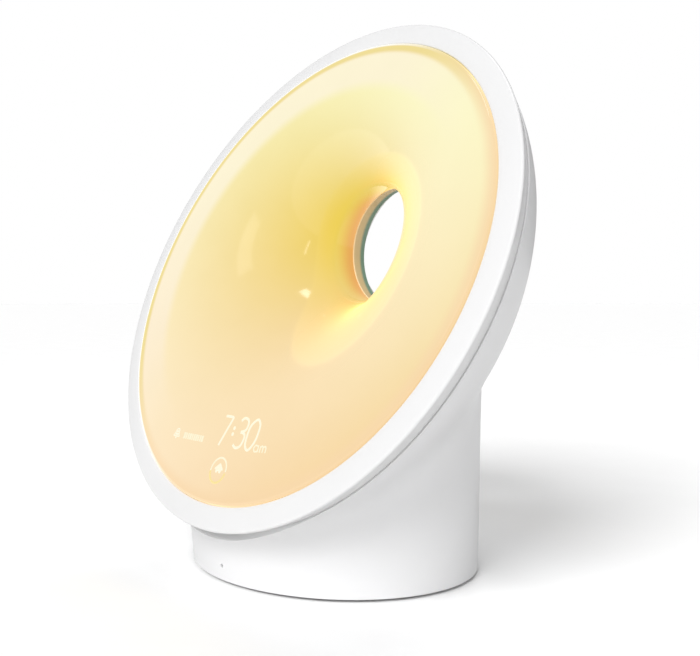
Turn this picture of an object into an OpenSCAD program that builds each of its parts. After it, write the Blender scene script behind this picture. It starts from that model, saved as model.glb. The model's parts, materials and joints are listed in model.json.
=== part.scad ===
// Sunrise alarm clock: a leaning ring light with a see-through centre, on an oval base.
// Millimetres. +Z is up, the light faces -Y, and the origin is the middle of the base on the table.

/* [Ring] */
// Outer diameter of the white front ring
disc_d = 219; // [200:1:264]
// Lean of the ring away from upright, in degrees
disc_lean = 24; // [20:1:27]
// Height of the ring's centre above the table
disc_z = 123; // [121:0.5:128]
// Distance of the ring's centre in front of the base's centre
disc_fwd = 22.5; // [18:0.5:27]
// Width of the ring's flat face
face_w = 9.4; // [7.8:0.1:11.4]
// Thickness of the ring's flat face
face_t = 1.8; // [1.4:0.1:2.4]
// Depth of the ring from its face to the seam
frame_t = 4.5; // [4:0.1:5.5]
// How far the ring's side wall tapers in towards the seam
frame_undercut = 2.3; // [1.5:0.1:2.6]
// Number of snap hooks on the ring
hook_count = 8; // [4:1:12]

/* [Rear housing] */
// Wall thickness of the housing
shell_wall = 2.6; // [2:0.1:3.2]
// Depth of the bowl behind the ring's face
bowl_depth = 70.2; // [66:0.2:80]
// How far in front of the face the widest part of the bowl's curve would lie
bowl_lead = 13.3; // [10:0.1:16]
// Step from the ring's edge in to the bowl's edge at the seam
seam_step = 1; // [0.5:0.1:1.6]
// Height at which the base's straight wall ends, inside the bowl
column_top = 150; // [146:1:154]

/* [Base] */
// Width of the base
base_w = 128; // [118:1:154]
// Distance of the base's front from its middle
base_front = 55.5; // [52:0.5:67]
// Distance of the base's back from its middle
base_back = 53.5; // [51:0.5:65]
// Gap between the housing's lower edge and the table
base_gap = 1.2; // [0.8:0.1:1.8]
// Thickness of the bottom cover
cover_t = 3.2; // [2.6:0.1:4]
// Thickness of the rubber mat under the cover
mat_t = 2; // [1.4:0.1:2.6]
// Distance from the base's wall in to the mat's edge
mat_inset = 11; // [10:0.5:16]

/* [Diffuser] */
// Wall thickness of the diffuser
diff_wall = 2.2; // [1.6:0.1:2.6]
// How far the diffuser's edge stands in front of the ring's face
diff_proud = 0.8; // [0.2:0.1:1.2]
// How far in from the rim the glowing surface stays level
rim_pull = 40; // [34:1:46]
// Extra level stretch below the hole, taken away above it
rim_pull_low = 10; // [0:1:12]
// Bulge of the glowing surface near its rim
rim_lift = 4.5; // [2:0.5:6]
// How far the throat runs straight towards the hole
throat_pull = 25.4; // [20:0.2:30]
// How much the throat is drawn in ahead of the hole
throat_waist = 8.7; // [4:0.1:10]

/* [Hole] */
// Radius of the see-through hole at its front edge
hole_r = 26.3; // [22:0.1:31.6]
// Height of the hole above the ring's centre, along the ring
hole_up = 30; // [26:0.5:32]
// Depth of the hole's front edge behind the ring's face
hole_back = 48.3; // [45:0.1:50]
// Lean of the hole's axis against the ring's axis, in degrees
hole_lean = 19; // [15:1:22]
// Length of the collar that lines the hole
collar_l = 7; // [5:0.5:8]
// How much the collar widens towards the back
collar_flare = 1.3; // [0.5:0.1:2]
// Radius of the rounding between the hole and the back of the housing
flare_r = 12.5; // [11:0.5:13]

/* [Light source] */
// Number of light-emitting diodes
led_count = 36; // [12:12:60]
// Distance of the circle of diodes in from the ring's inner edge
led_ring_in = 25.1; // [24.1:0.5:27.1]
// Width of the ring-shaped diode board
led_board_w = 11; // [10:0.5:12]
// Depth of the reflector's floor behind the ring's face
floor_back = 26; // [25:0.5:27]
// Width of a diode
led_w = 3.5; // [2.8:0.1:5]

/* [Display] */
// Height of a display digit
digit_h = 13; // [10:0.5:14]
// Width of a display digit
digit_w = 6.6; // [5:0.2:7]
// Width of a digit's bars
bar_w = 1.1; // [0.8:0.1:1.4]
// Gap between the ends of a digit's bars
bar_gap = 0.4; // [0.3:0.05:0.6]
// Distance of the digits in from the ring's lower inner edge
digits_in = 26.1; // [24.1:0.5:28.1]

/* [Buttons] */
// Radius of a push button
button_r = 6; // [5:0.1:6.6]
// Distance of each button from the middle
button_x = 20; // [18:0.5:22]
// Depth of the buttons behind the ring's face
button_back = 20; // [19:0.5:22]
// Travel of a button
button_travel = 0.6; // [0.4:0.1:0.8]
// How far a button stands proud of the housing
button_proud = 1.2; // [0.9:0.1:1.6]

/* [Speaker] */
// Height of the loudspeaker's centre above the table
speaker_z = 52; // [50:0.5:54]
// Outer radius of the loudspeaker's frame
speaker_r = 26.5; // [25:0.5:28]
// Radius of the loudspeaker's cone
cone_r = 17.5; // [16:0.5:18]
// Travel of the cone each way
cone_travel = 1.5; // [0.5:0.1:1.8]
// Radius of a hole in the loudspeaker grille
grille_hole_r = 1.1; // [0.8:0.1:1.4]

/* [Sockets] */
// Distance of the power inlet and of the charging port from the middle
port_x = 22; // [20:0.5:24]
// Radius of the power inlet's socket
power_bore_r = 2.75; // [2.5:0.05:3]
// Radius of the audio socket
audio_bore_r = 1.8; // [1.75:0.05:1.9]
// Width of the charging port's mouth
usb_w = 12.5; // [12:0.1:13]
// Height of the charging port's mouth
usb_h = 5.2; // [4.6:0.1:5.6]

/* [Hidden] */

// Roundness of turned shapes and of the shapes that are made of flat facets
$fn = 72;
column_facets = 72;
diff_facets = 48;
diff_steps = 12;
bowl_steps = 24;
flare_steps = 8;
tube_sides = 8;
cable_steps = 4;
cable_side = [0.2, 1, 0.1];

// Clearances
slip = 0.3;
seam_gap = 0.2;
sliding_gap = 0.1;
screw_gap = 0.1;
big = 400;

// Ring and diffuser edge
disc_r = disc_d / 2;
ring_edge = 0.4;
ring_lip = 0.9;
ring_wall = 1.8;
ring_in_r = disc_r - face_w;
diff_r = ring_in_r - slip;
flange_over = 1.8;
flange_r = diff_r + flange_over;
flange_t = 2;
flange_top = face_t + seam_gap;
flange_back = flange_top + flange_t;
flange_in_r = diff_r - diff_wall;
spigot_in_r = flange_r + slip;
spigot_wall = 1.4;
spigot_out_r = spigot_in_r + spigot_wall;
spigot_l = 9.2;
hook_t = 1;
hook_reach = 0.6;
hook_angle = 10;
snap_rib_t = 1.4;
snap_rib_back = spigot_l - hook_t - seam_gap;

// Bowl: part of an ellipse turned about the ring's axis
seam_back = frame_t + seam_gap;
bowl_b = bowl_depth + bowl_lead;
bowl_a = (disc_r - seam_step) / sqrt(1 - pow((frame_t + bowl_lead) / bowl_b, 2));
function bowl_radius(back, inset = 0) =
    (bowl_a - inset) * sqrt(max(0, 1 - pow((back + bowl_lead) / (bowl_b - inset), 2)));

// Hole and collar
hole_axis = [0, -sin(hole_lean), cos(hole_lean)];
hole_mid = [0, hole_up, -hole_back];
collar_out_r = hole_r + collar_flare + shell_wall;

// Column, cover and mat
column_rx = base_w / 2;
function base_y(a) = (sin(a) > 0 ? base_back : base_front);
cover_inset = shell_wall + slip;
cover_z = mat_t;
cover_top = cover_z + cover_t;
cover_post_r = 4;
cover_post_in = shell_wall + 3;
cover_post_top = 22;
cover_post_angles = [40, 140, 220, 320];

// Reflector and diode board
reflector_wall = 1.5;
reflector_top = flange_back + sliding_gap;
reflector_in_r = flange_r - 7.6;
led_ring_r = ring_in_r - led_ring_in;
floor_out_r = led_ring_r + led_board_w / 2 + 2.5;
floor_in_r = led_ring_r - led_board_w / 2 - 2.5;
led_board_t = 1.6;
led_t = 1;
led_post_r = 3.5;
led_post_l = 20;
led_screw_l = 12;
led_screw_angles = [30, 90, 150, 210, 330];

// Display, just behind the lower part of the diffuser
display_left = -44;
display_right = 30;
display_far_in = 38.1;
display_near_in = 11.6;
display_top = display_far_in - ring_in_r;
display_low = display_near_in - ring_in_r;
digits_down = ring_in_r - digits_in;
display_reach_r = reflector_in_r - 5;
display_back = 11.2;
display_board_t = 1.2;
mask_t = 4;
mask_left = -36;
mask_right = 23;
digit_pitch = digit_w + 2.6;
digit_mid = 4;
ring_mark_r = 4.6;
ring_mark_gap = 30;
display_post_r = 2.5;
display_post_in = [26.1, 21.1];
display_post_at = [[-39, display_post_in[0] - ring_in_r], [27, display_post_in[1] - ring_in_r]];
display_screw_l = 6;

// Buttons, square to the bowl's surface
button_surface_r = bowl_radius(button_back);
button_lean = atan(pow(bowl_a / bowl_b, 2) * (button_back + bowl_lead) / button_surface_r);
button_up = sqrt(pow(button_surface_r, 2) - pow(button_x, 2));
button_bore_r = button_r + sliding_gap;
button_flange_over = 1.2;
button_flange_r = button_r + button_flange_over;
button_seat = shell_wall + 0.7;
button_flange_top = button_seat + slip;
button_flange_t = 1;
button_foot = button_flange_top + button_flange_t;
plunger_r = 1.5;
plunger_up = button_travel + slip;
plunger_l = plunger_up + 0.8;
switch_w = 6;
switch_t = 2.5;
switch_top = button_foot + plunger_up;
button_board_top = switch_top + switch_t;
button_board_t = 1;
button_board_l = 56;
button_board_w = 10;
button_post_x = 8;
button_post_r = 2.5;

// Loudspeaker, facing the back wall
speaker_seat_y = base_back - 9;
gasket_t = 0.8;
speaker_plate_t = 1.5;
speaker_open_r = speaker_r - 5;
speaker_screw_r = speaker_r - 2.3;
plate_y = speaker_seat_y - gasket_t - speaker_plate_t;
basket_depth = 12;
basket_low_r = 15.5;
basket_wall = 1.2;
magnet_r = 16;
magnet_t = 11;
pole_r = 6.1;
coil_in_r = pole_r + slip;
coil_wall = 0.5;
coil_l = basket_depth / 2 + 1 + 2 * cone_travel;
gap_r = coil_in_r + coil_wall + slip;
cone_wall = 0.6;
cone_depth = 6;
surround_r = cone_r + 3.4;
grille_pitch = 5.5;
grille_rings = 3;
window_half_angle = 22;

// Main board and what stands on it
board_w = 72;
board_l = 66;
board_mid_y = base_back - 48.5;
board_post_h = 4.8;
board_z = cover_top + board_post_h;
board_t = 1.6;
board_top = board_z + board_t;
board_post_r = 3;
board_post_in = 4;
inlet_body = [9, 14, 11];
audio_body = [8, 14, 7];
usb_wall = 0.8;
usb_l = 14;
usb_tongue_t = 1.8;
port_nose_r = 4.4;
audio_nose_r = 3;
port_hole_gap = 0.4;
port_face_y = base_back - 10;
inlet_z = board_top + inlet_body[2] / 2;
audio_z = board_top + audio_body[2] / 2;
power_pin_r = 1;
power_bore_l = 9.5;
audio_bore_l = 13;
cell_r = 10;
cell_t = 3.2;
cell_at = [-14, -16];
sensor_z = 6.8;
sensor_r = 0.7;
sensor_collar_r = 1.2;

// Screws: head radius, head thickness, shank radius
cover_screw = [2.7, 1.8, 1.5];
small_screw = [2.2, 1.4, 1.1];
tiny_screw = [1.9, 1.1, 0.9];

// Cable routes, from the board up, chosen by hand
cable_r = 1.2;
led_route = [
    [-31, -8, 12], [-30, -14, 30], [-34, -14, 48], [-44, -11, 62],
    [-49.3, -13.8, 73.6], [-49.3, -18.8, 75.9], [-53.3, -19.9, 72.5]
];
display_route = [
    [6, -24, 12], [2, -22, 28], [-9, -18, 44], [-18, -17, 57], [-20, -28.6, 60.1], [-20, -37.8, 57.6]
];
speaker_route = [[24, 0, 12.3], [25, 8, 24], [22, 22, 36], [16, 33, 41]];
button_route = [
    [30, -8, 12.3], [38, 4, 36], [52, 18, 80], [57, 30, 120], [57, 31, 142], [55.5, 32.5, 157],
    [54, 33, 168.5], [47, 33.5, 180], [37.5, 31.5, 191.5], [29.5, 29, 197.5], [25, 28, 199.3]
];

// ---------------------------------------------------------------- places

// The ring's own axes: +Z out of its face, +Y up along it
module in_disc() {
    translate([0, -disc_fwd, disc_z]) rotate([90 - disc_lean, 0, 0]) children();
}

// The hole's own axes: +Z towards the front, from the middle of its front edge
module in_hole() {
    in_disc() translate([0, hole_up, -hole_back]) rotate([hole_lean, 0, 0]) children();
}

// A button's own axes: +Z outwards, from the bowl's surface
module at_button(side) {
    in_disc() translate([side * button_x, button_up, -button_back])
        rotate([-90 - button_lean, 0, 0]) children();
}

// The loudspeaker's own axes: +Z towards the back wall, from y
module at_speaker(y) {
    translate([0, y, speaker_z]) rotate([-90, 0, 0]) children();
}

// ---------------------------------------------------------------- shared shapes

// The base's outline, drawn in by inset, whose back is a little flatter than its front
function outline_point(a, inset) = [(column_rx - inset) * cos(a), (base_y(a) - inset) * sin(a)];

module oval(inset, z_low, z_high) {
    translate([0, 0, z_low]) linear_extrude(z_high - z_low)
        polygon([for (i = [0 : column_facets - 1]) outline_point(i * 360 / column_facets, inset)]);
}

module ring(r_in, r_out, z_low, z_high) {
    rotate_extrude() translate([r_in, z_low]) square([r_out - r_in, z_high - z_low]);
}

// A screw whose head rests on z = 0 and whose shank points to -Z
module screw(size, length) {
    difference() {
        union() {
            cylinder(r = size[0], h = size[1]);
            translate([0, 0, -length]) cylinder(r = size[2], h = length + size[1] / 2);
        }
        translate([0, 0, size[1] / 2]) cylinder(r = size[2], h = size[1], $fn = 6);
    }
}

// A round cable: rings of points swept along a smooth curve through its route
function unit(v) = v / norm(v);
function route_at(p, i) = p[max(0, min(len(p) - 1, i))];
function between(p, i, t) = let (a = route_at(p, i - 1), b = p[i], c = p[i + 1], d = route_at(p, i + 2))
    b + t * (c - a) / 2 + t * t * (2 * a - 5 * b + 4 * c - d) / 2 + pow(t, 3) * (3 * b - a - 3 * c + d) / 2;
function smooth_route(p) = concat(
    [for (i = [0 : len(p) - 2]) for (k = [0 : cable_steps - 1]) between(p, i, k / cable_steps)],
    [p[len(p) - 1]]
);
function ring_points(c, dir, r) = let (u = unit(cross(dir, cable_side)), v = cross(dir, u))
    [for (j = [0 : tube_sides - 1]) let (a = j * 360 / tube_sides) c + r * (cos(a) * u + sin(a) * v)];

module cable(route, r) {
    p = smooth_route(route);
    last = len(p) - 1;
    n = tube_sides;
    polyhedron(
        points = [for (i = [0 : last])
            each ring_points(p[i], unit(p[min(i + 1, last)] - p[max(i - 1, 0)]), r)],
        faces = concat(
            [[for (j = [0 : n - 1]) j]],
            [for (i = [0 : last - 1]) for (j = [0 : n - 1]) let (k = (j + 1) % n)
                each [[i * n + j, (i + 1) * n + j, i * n + k], [i * n + k, (i + 1) * n + j, (i + 1) * n + k]]],
            [[for (j = [n - 1 : -1 : 0]) last * n + j]]
        )
    );
}

// ---------------------------------------------------------------- outside

module front_ring() color("white") in_disc() {
    rotate_extrude() polygon([
        [ring_in_r, 0], [disc_r - ring_edge, 0], [disc_r, -ring_edge], [disc_r, -ring_lip],
        [disc_r - frame_undercut, -frame_t], [disc_r - frame_undercut - ring_wall, -frame_t],
        [disc_r - frame_undercut - ring_wall, -face_t], [spigot_out_r, -face_t],
        [spigot_out_r, -spigot_l], [spigot_in_r, -spigot_l], [spigot_in_r, -face_t], [ring_in_r, -face_t]
    ]);
    for (i = [0 : hook_count - 1])
        rotate((i + 0.5) * 360 / hook_count - hook_angle / 2) rotate_extrude(angle = hook_angle)
            translate([spigot_out_r - spigot_wall / 2, -spigot_l])
            square([hook_reach + spigot_wall / 2, hook_t]);
}

// The glowing surface: at each angle a curve runs from the rim into the hole
function rim_dir(a) = [cos(a), sin(a), 0];
function hole_dir(a) = [cos(a), sin(a) * cos(hole_lean), sin(a) * sin(hole_lean)];
function rim_point(a) = diff_r * rim_dir(a) + [0, 0, diff_proud];
function rim_handle(a) =
    rim_point(a) - (rim_pull - rim_pull_low * sin(a)) * rim_dir(a) + [0, 0, rim_lift];
function lip_point(a) = hole_mid + hole_r * hole_dir(a);
function lip_handle(a) = lip_point(a) + throat_pull * hole_axis - throat_waist * hole_dir(a);
function curve_point(a, t) =
    pow(1 - t, 3) * rim_point(a) + 3 * t * pow(1 - t, 2) * rim_handle(a)
    + 3 * t * t * (1 - t) * lip_handle(a) + pow(t, 3) * lip_point(a);
function curve_slope(a, t) =
    pow(1 - t, 2) * (rim_handle(a) - rim_point(a)) + 2 * t * (1 - t) * (lip_handle(a) - rim_handle(a))
    + t * t * (lip_point(a) - lip_handle(a));
function back_dir(a, t) = let (n = cross(curve_slope(a, t), [-sin(a), cos(a), 0])) n / norm(n);
function back_point(a, t) = curve_point(a, t) + diff_wall * back_dir(a, t);
function diffuser_loop(a) = concat(
    [for (i = [0 : diff_steps]) curve_point(a, i / diff_steps)],
    [lip_point(a) + diff_wall * hole_dir(a)],
    [for (i = [diff_steps - 1 : -1 : 1]) back_point(a, i / diff_steps)],
    [back_point(a, 0.25 / diff_steps)],
    [for (p = [[flange_in_r, -flange_back], [flange_r, -flange_back], [flange_r, -flange_top],
        [diff_r, -flange_top]]) p[0] * rim_dir(a) + [0, 0, p[1]]]
);

module diffuser() color("khaki") in_disc() {
    loops = [for (j = [0 : diff_facets - 1]) diffuser_loop(j * 360 / diff_facets)];
    m = len(loops[0]);
    polyhedron(
        points = [for (one = loops) each one],
        faces = [for (j = [0 : diff_facets - 1]) for (i = [0 : m - 1])
            let (k = (j + 1) % diff_facets, l = (i + 1) % m, p = j * m + i, q = j * m + l,
                r = k * m + l, s = k * m + i)
            each [[p, q, r], [p, r, s]]]
    );
}

module hole_collar() color("darkseagreen") in_hole() rotate_extrude() polygon([
    [hole_r, 0], [collar_out_r, 0], [collar_out_r, -collar_l], [hole_r + collar_flare, -collar_l]
]);

// Half of the bowl's cross-section, from the seam to its deepest point
module bowl_solid(inset, start) {
    rotate_extrude() polygon(concat(
        [[0, -start]],
        [for (i = [0 : bowl_steps - 1])
            let (s = sin(90 * i / bowl_steps), back = start + (bowl_depth - inset - start) * s)
            [bowl_radius(back, inset), -back]],
        [[0, -(bowl_depth - inset)]]
    ));
}

// The space of the hole behind its collar, widened towards the back, or the outline of its wall
module flare_solid(wall) {
    arc_r = flare_r - wall;
    mouth_r = hole_r + collar_flare + flare_r;
    deep = collar_l + 3 * flare_r;
    rotate_extrude() polygon(concat(
        [[0, -collar_l]],
        [for (i = [0 : flare_steps]) let (a = i * 90 / flare_steps)
            [mouth_r - arc_r * cos(a), -collar_l - arc_r * sin(a)]],
        [[mouth_r + wall, -collar_l - arc_r], [mouth_r + wall, -deep], [0, -deep]]
    ));
}

module behind_seam() {
    in_disc() translate([-big / 2, -big / 2, -seam_back - big]) cube(big);
}

module cover_post_places() {
    for (a = cover_post_angles) translate(outline_point(a, cover_post_in)) children();
}

module housing_outside() {
    in_disc() bowl_solid(0, seam_back);
    intersection() {
        oval(0, base_gap, column_top);
        behind_seam();
    }
}

module housing_inside() {
    in_disc() bowl_solid(shell_wall, seam_back - 1);
    intersection() {
        oval(shell_wall, 0, column_top - shell_wall);
        behind_seam();
    }
}

// What stands inside the housing: snap rib, hole wall, posts and the loudspeaker's seat
module housing_fittings() {
    in_disc() {
        ring(spigot_out_r + seam_gap, disc_r, -snap_rib_back, -snap_rib_back + snap_rib_t);
        for (a = led_screw_angles)
            rotate(a) translate([led_ring_r, 0, -floor_back - reflector_wall - led_post_l])
                cylinder(r = led_post_r, h = led_post_l);
    }
    in_hole() flare_solid(shell_wall);
    cover_post_places() translate([0, 0, cover_top]) cylinder(r = cover_post_r, h = cover_post_top - cover_top);
    at_speaker(speaker_seat_y) difference() {
        cylinder(r = speaker_r, h = base_back - speaker_seat_y);
        translate([0, 0, -1]) cylinder(r = speaker_open_r, h = base_back);
    }
    at_button(1) translate([-button_x - button_post_x, 0, -button_board_top])
        cylinder(r = button_post_r, h = button_board_top);
    at_button(-1) translate([button_x + button_post_x, 0, -button_board_top])
        cylinder(r = button_post_r, h = button_board_top);
}

module housing_holes() {
    in_hole() flare_solid(0);
    in_disc() for (a = led_screw_angles)
        rotate(a) translate([led_ring_r, 0, -floor_back - reflector_wall - led_screw_l])
            cylinder(r = small_screw[2] + screw_gap, h = led_screw_l + 1);
    cover_post_places() cylinder(r = cover_screw[2] + screw_gap, h = cover_post_top - 3);
    for (side = [-1, 1]) at_button(side) {
        translate([0, 0, -button_seat - 1]) cylinder(r = button_bore_r, h = button_seat + 6);
        translate([0, 0, -button_board_top + 1])
            cylinder(r = button_flange_r + slip, h = button_board_top - 1 - button_seat);
        translate([side * (button_post_x - button_x), 0, -button_board_top - 1])
            cylinder(r = tiny_screw[2] + screw_gap, h = 5);
    }
    at_speaker(speaker_seat_y - 1) {
        for (i = [0 : 3]) rotate(45 + 90 * i) translate([speaker_screw_r, 0, 0])
            cylinder(r = tiny_screw[2] + screw_gap, h = 6);
        for (k = [0 : grille_rings]) for (i = [0 : max(1, 6 * k) - 1])
            rotate(360 * i / max(1, 6 * k)) translate([grille_pitch * k, 0, 0])
                cylinder(r = grille_hole_r, h = big / 4, $fn = 24);
    }
    port_places(inlet_z) cylinder(r = port_nose_r + port_hole_gap, h = big / 8);
    audio_place() cylinder(r = audio_nose_r + port_hole_gap, h = big / 8);
    translate([port_x - usb_w / 2 - port_hole_gap, port_face_y, board_top + usb_wall - port_hole_gap])
        cube([usb_w + 2 * port_hole_gap, big / 8, usb_h + 2 * port_hole_gap]);
    translate([0, -base_front + shell_wall + 1, sensor_z]) rotate([90, 0, 0])
        cylinder(r = sensor_r + sliding_gap, h = shell_wall + 2);
}

module rear_housing() color("gainsboro") difference() {
    housing_outside();
    difference() {
        housing_inside();
        housing_fittings();
    }
    housing_holes();
}

module bottom_cover() color("dimgray") {
    difference() {
        oval(cover_inset, cover_z, cover_top);
        cover_post_places() {
            translate([0, 0, cover_z - 1]) cylinder(r = cover_screw[0] + slip, h = 1 + cover_screw[1]);
            translate([0, 0, cover_z]) cylinder(r = cover_screw[2] + screw_gap, h = cover_t + 1);
        }
        board_post_places() translate([0, 0, cover_z + 1]) cylinder(r = small_screw[2] + screw_gap, h = cover_t);
    }
    board_post_places() translate([0, 0, cover_top - 1]) difference() {
        cylinder(r = board_post_r, h = board_post_h + 1);
        translate([0, 0, 1]) cylinder(r = small_screw[2] + screw_gap, h = board_post_h + 1);
    }
}

module foot_mat() color("dimgray") oval(mat_inset, 0, mat_t);

module cover_screws() color("silver") cover_post_places()
    translate([0, 0, cover_z + cover_screw[1]]) rotate([180, 0, 0]) screw(cover_screw, cover_t + 8);

module sensor_lens() color("gray") {
    translate([0, -base_front + shell_wall + 1, sensor_z]) rotate([90, 0, 0]) {
        cylinder(r = sensor_r, h = shell_wall + 0.8);
        cylinder(r = sensor_collar_r, h = 1 - slip);
    }
}

// ---------------------------------------------------------------- light source

module reflector_envelope() {
    rotate_extrude() polygon([
        [0, -reflector_top], [reflector_in_r + reflector_wall, -reflector_top],
        [floor_out_r + reflector_wall, -floor_back - reflector_wall], [0, -floor_back - reflector_wall]
    ]);
}

module reflector() color("whitesmoke") in_disc() difference() {
    union() {
        rotate_extrude() polygon([
            [reflector_in_r, -reflector_top], [floor_out_r, -floor_back], [floor_in_r, -floor_back],
            [floor_in_r, -floor_back - reflector_wall],
            [floor_out_r + reflector_wall, -floor_back - reflector_wall],
            [reflector_in_r + reflector_wall, -reflector_top - reflector_wall],
            [flange_r, -reflector_top - reflector_wall], [flange_r, -reflector_top]
        ]);
        intersection() {
            for (p = display_post_at) translate([p[0], p[1], -floor_back])
                cylinder(r = display_post_r, h = floor_back - display_back);
            reflector_envelope();
        }
    }
    for (a = led_screw_angles) rotate(a) translate([led_ring_r, 0, -floor_back - reflector_wall - 1])
        cylinder(r = small_screw[2] + screw_gap, h = reflector_wall + 2);
    for (p = display_post_at) translate([p[0], p[1], -display_back - display_screw_l - 0.5])
        cylinder(r = tiny_screw[2] + screw_gap, h = display_screw_l + 1);
}

module led_board() color("seagreen") in_disc() difference() {
    ring(led_ring_r - led_board_w / 2, led_ring_r + led_board_w / 2, -floor_back, -floor_back + led_board_t);
    for (a = led_screw_angles) rotate(a) translate([led_ring_r, 0, -floor_back - 1])
        cylinder(r = small_screw[2] + screw_gap, h = led_board_t + 2);
}

module leds() color("lightyellow") in_disc()
    for (i = [0 : led_count - 1]) rotate((i + 0.5) * 360 / led_count)
        translate([led_ring_r - led_w / 2, -led_w / 2, -floor_back + led_board_t]) cube([led_w, led_w, led_t]);

module led_screws() color("silver") in_disc()
    for (a = led_screw_angles) rotate(a) translate([led_ring_r, 0, -floor_back + led_board_t])
        screw(small_screw, led_screw_l);

// ---------------------------------------------------------------- display

module display_outline(back, front, left, right) {
    intersection() {
        translate([left, display_low, -back]) cube([right - left, display_top - display_low, back - front]);
        translate([0, 0, -back]) cylinder(r = display_reach_r, h = back - front);
    }
}

module display_board() color("seagreen") in_disc() difference() {
    display_outline(display_back, display_back - display_board_t, display_left, display_right);
    for (p = display_post_at) translate([p[0], p[1], -display_back - 1])
        cylinder(r = tiny_screw[2] + screw_gap, h = display_board_t + 2);
}

// Seven bars of one digit, each drawn by shrink smaller on every side
module digit_bars(z, height, shrink) {
    upright = digit_h / 2 - bar_w - 2 * bar_gap;
    level = digit_w - bar_w - 2 * bar_gap;
    for (sx = [-1, 1]) for (sy = [-1, 1])
        translate([sx * digit_w / 2 - bar_w / 2 + shrink, sy * digit_h / 4 - upright / 2 + shrink, z])
            cube([bar_w - 2 * shrink, upright - 2 * shrink, height]);
    for (sy = [-1, 0, 1])
        translate([-level / 2 + shrink, sy * digit_h / 2 - bar_w / 2 + shrink, z])
            cube([level - 2 * shrink, bar_w - 2 * shrink, height]);
}

// Three digits, the two dots between them and the mark of three arcs below
module display_marks(z, height, shrink) {
    translate([digit_mid, -digits_down, 0]) {
        for (i = [-1.2, 0, 1]) translate([i * digit_pitch, 0, 0]) digit_bars(z, height, shrink);
        for (sy = [-1, 1]) translate([-0.6 * digit_pitch, sy * digit_h / 5, z])
            cylinder(r = bar_w / 2 - shrink, h = height);
    }
    translate([0, display_low + ring_mark_r / 2 + bar_w, 0])
        for (i = [0 : 2]) rotate(120 * i + ring_mark_gap / 2 + 10 * shrink)
            rotate_extrude(angle = 120 - ring_mark_gap - 20 * shrink)
                translate([ring_mark_r / 2 - bar_w / 2 + shrink, z]) square([bar_w - 2 * shrink, height]);
}

module display_mask() color("black") in_disc() difference() {
    display_outline(display_back - display_board_t, display_back - display_board_t - mask_t,
        mask_left, mask_right);
    display_marks(-display_back, big / 4, 0);
}

module display_bars() color("lightyellow") in_disc()
    display_marks(-display_back + display_board_t, mask_t - slip, sliding_gap);

module display_screws() color("silver") in_disc()
    for (p = display_post_at) translate([p[0], p[1], -display_back + display_board_t])
        screw(tiny_screw, display_screw_l);

// ---------------------------------------------------------------- buttons

module push_button(side) at_button(side) {
    rotate_extrude() polygon([
        [0, button_proud], [0.5 * button_r, button_proud - 0.1], [0.8 * button_r, button_proud - 0.3],
        [button_r, button_proud - 0.8], [button_r, -button_flange_top],
        [button_flange_r, -button_flange_top], [button_flange_r, -button_foot], [0, -button_foot]
    ]);
}

module plunger(side) at_button(side)
    translate([0, 0, -button_foot - plunger_l]) cylinder(r = plunger_r, h = plunger_l);

module light_button() color("white") push_button(1);
module alarm_button() color("white") push_button(-1);
module light_plunger() color("black") plunger(1);
module alarm_plunger() color("black") plunger(-1);

module button_switches() color("dimgray") for (side = [-1, 1]) at_button(side) difference() {
    translate([-switch_w / 2, -switch_w / 2, -button_board_top]) cube([switch_w, switch_w, switch_t]);
    translate([0, 0, -button_board_top + 0.5]) cylinder(r = plunger_r + sliding_gap, h = switch_t);
}

module at_button_middle() at_button(1) translate([-button_x, 0, 0]) children();

module button_board() color("seagreen") at_button_middle() difference() {
    translate([-button_board_l / 2, -button_board_w / 2, -button_board_top - button_board_t])
        cube([button_board_l, button_board_w, button_board_t]);
    for (side = [-1, 1]) translate([side * button_post_x, 0, -button_board_top - button_board_t - 1])
        cylinder(r = tiny_screw[2] + screw_gap, h = button_board_t + 2);
}

module button_screws() color("silver") at_button_middle()
    for (side = [-1, 1]) translate([side * button_post_x, 0, -button_board_top - button_board_t])
        rotate([180, 0, 0]) screw(tiny_screw, button_board_t + 3);

// ---------------------------------------------------------------- loudspeaker

module speaker_screw_places() {
    for (i = [0 : 3]) rotate(45 + 90 * i) translate([speaker_screw_r, 0, 0]) children();
}

module speaker_gasket() color("dimgray") at_speaker(speaker_seat_y - gasket_t) difference() {
    ring(speaker_open_r, speaker_r, 0, gasket_t);
    speaker_screw_places() translate([0, 0, -1]) cylinder(r = tiny_screw[2] + screw_gap, h = gasket_t + 2);
}

module speaker_frame() color("slategray") at_speaker(plate_y) difference() {
    union() {
        ring(surround_r, speaker_r, 0, speaker_plate_t);
        rotate_extrude() polygon([
            [surround_r, 0], [surround_r + basket_wall, 0], [basket_low_r + basket_wall, -basket_depth],
            [gap_r + 1, -basket_depth], [gap_r + 1, -basket_depth + basket_wall],
            [basket_low_r, -basket_depth + basket_wall]
        ]);
    }
    speaker_screw_places() translate([0, 0, -1]) cylinder(r = tiny_screw[2] + screw_gap, h = speaker_plate_t + 2);
    for (i = [0 : 3]) rotate(90 * i - window_half_angle) rotate_extrude(angle = 2 * window_half_angle)
        translate([gap_r + 3, -basket_depth + 2.5]) square([speaker_r, basket_depth - 5]);
}

// Top plate, ring magnet and yoke with its centre pole, around the gap for the coil
module speaker_magnet() color("gray") at_speaker(plate_y - basket_depth) difference() {
    translate([0, 0, -magnet_t]) cylinder(r = magnet_r, h = magnet_t);
    ring(pole_r, gap_r, -magnet_t + 2, 1);
}

module voice_coil() color("peru") at_speaker(plate_y - basket_depth)
    ring(coil_in_r, coil_in_r + coil_wall, -coil_l + basket_depth / 2, basket_depth / 2);

module speaker_cone() color("black") at_speaker(plate_y) rotate_extrude() polygon([
    [cone_r, 0], [coil_in_r, -cone_depth], [coil_in_r, -cone_depth + cone_wall],
    [coil_in_r + coil_wall, -cone_depth + 1.3 * cone_wall], [cone_r, 1.5 * cone_wall]
]);

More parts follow.
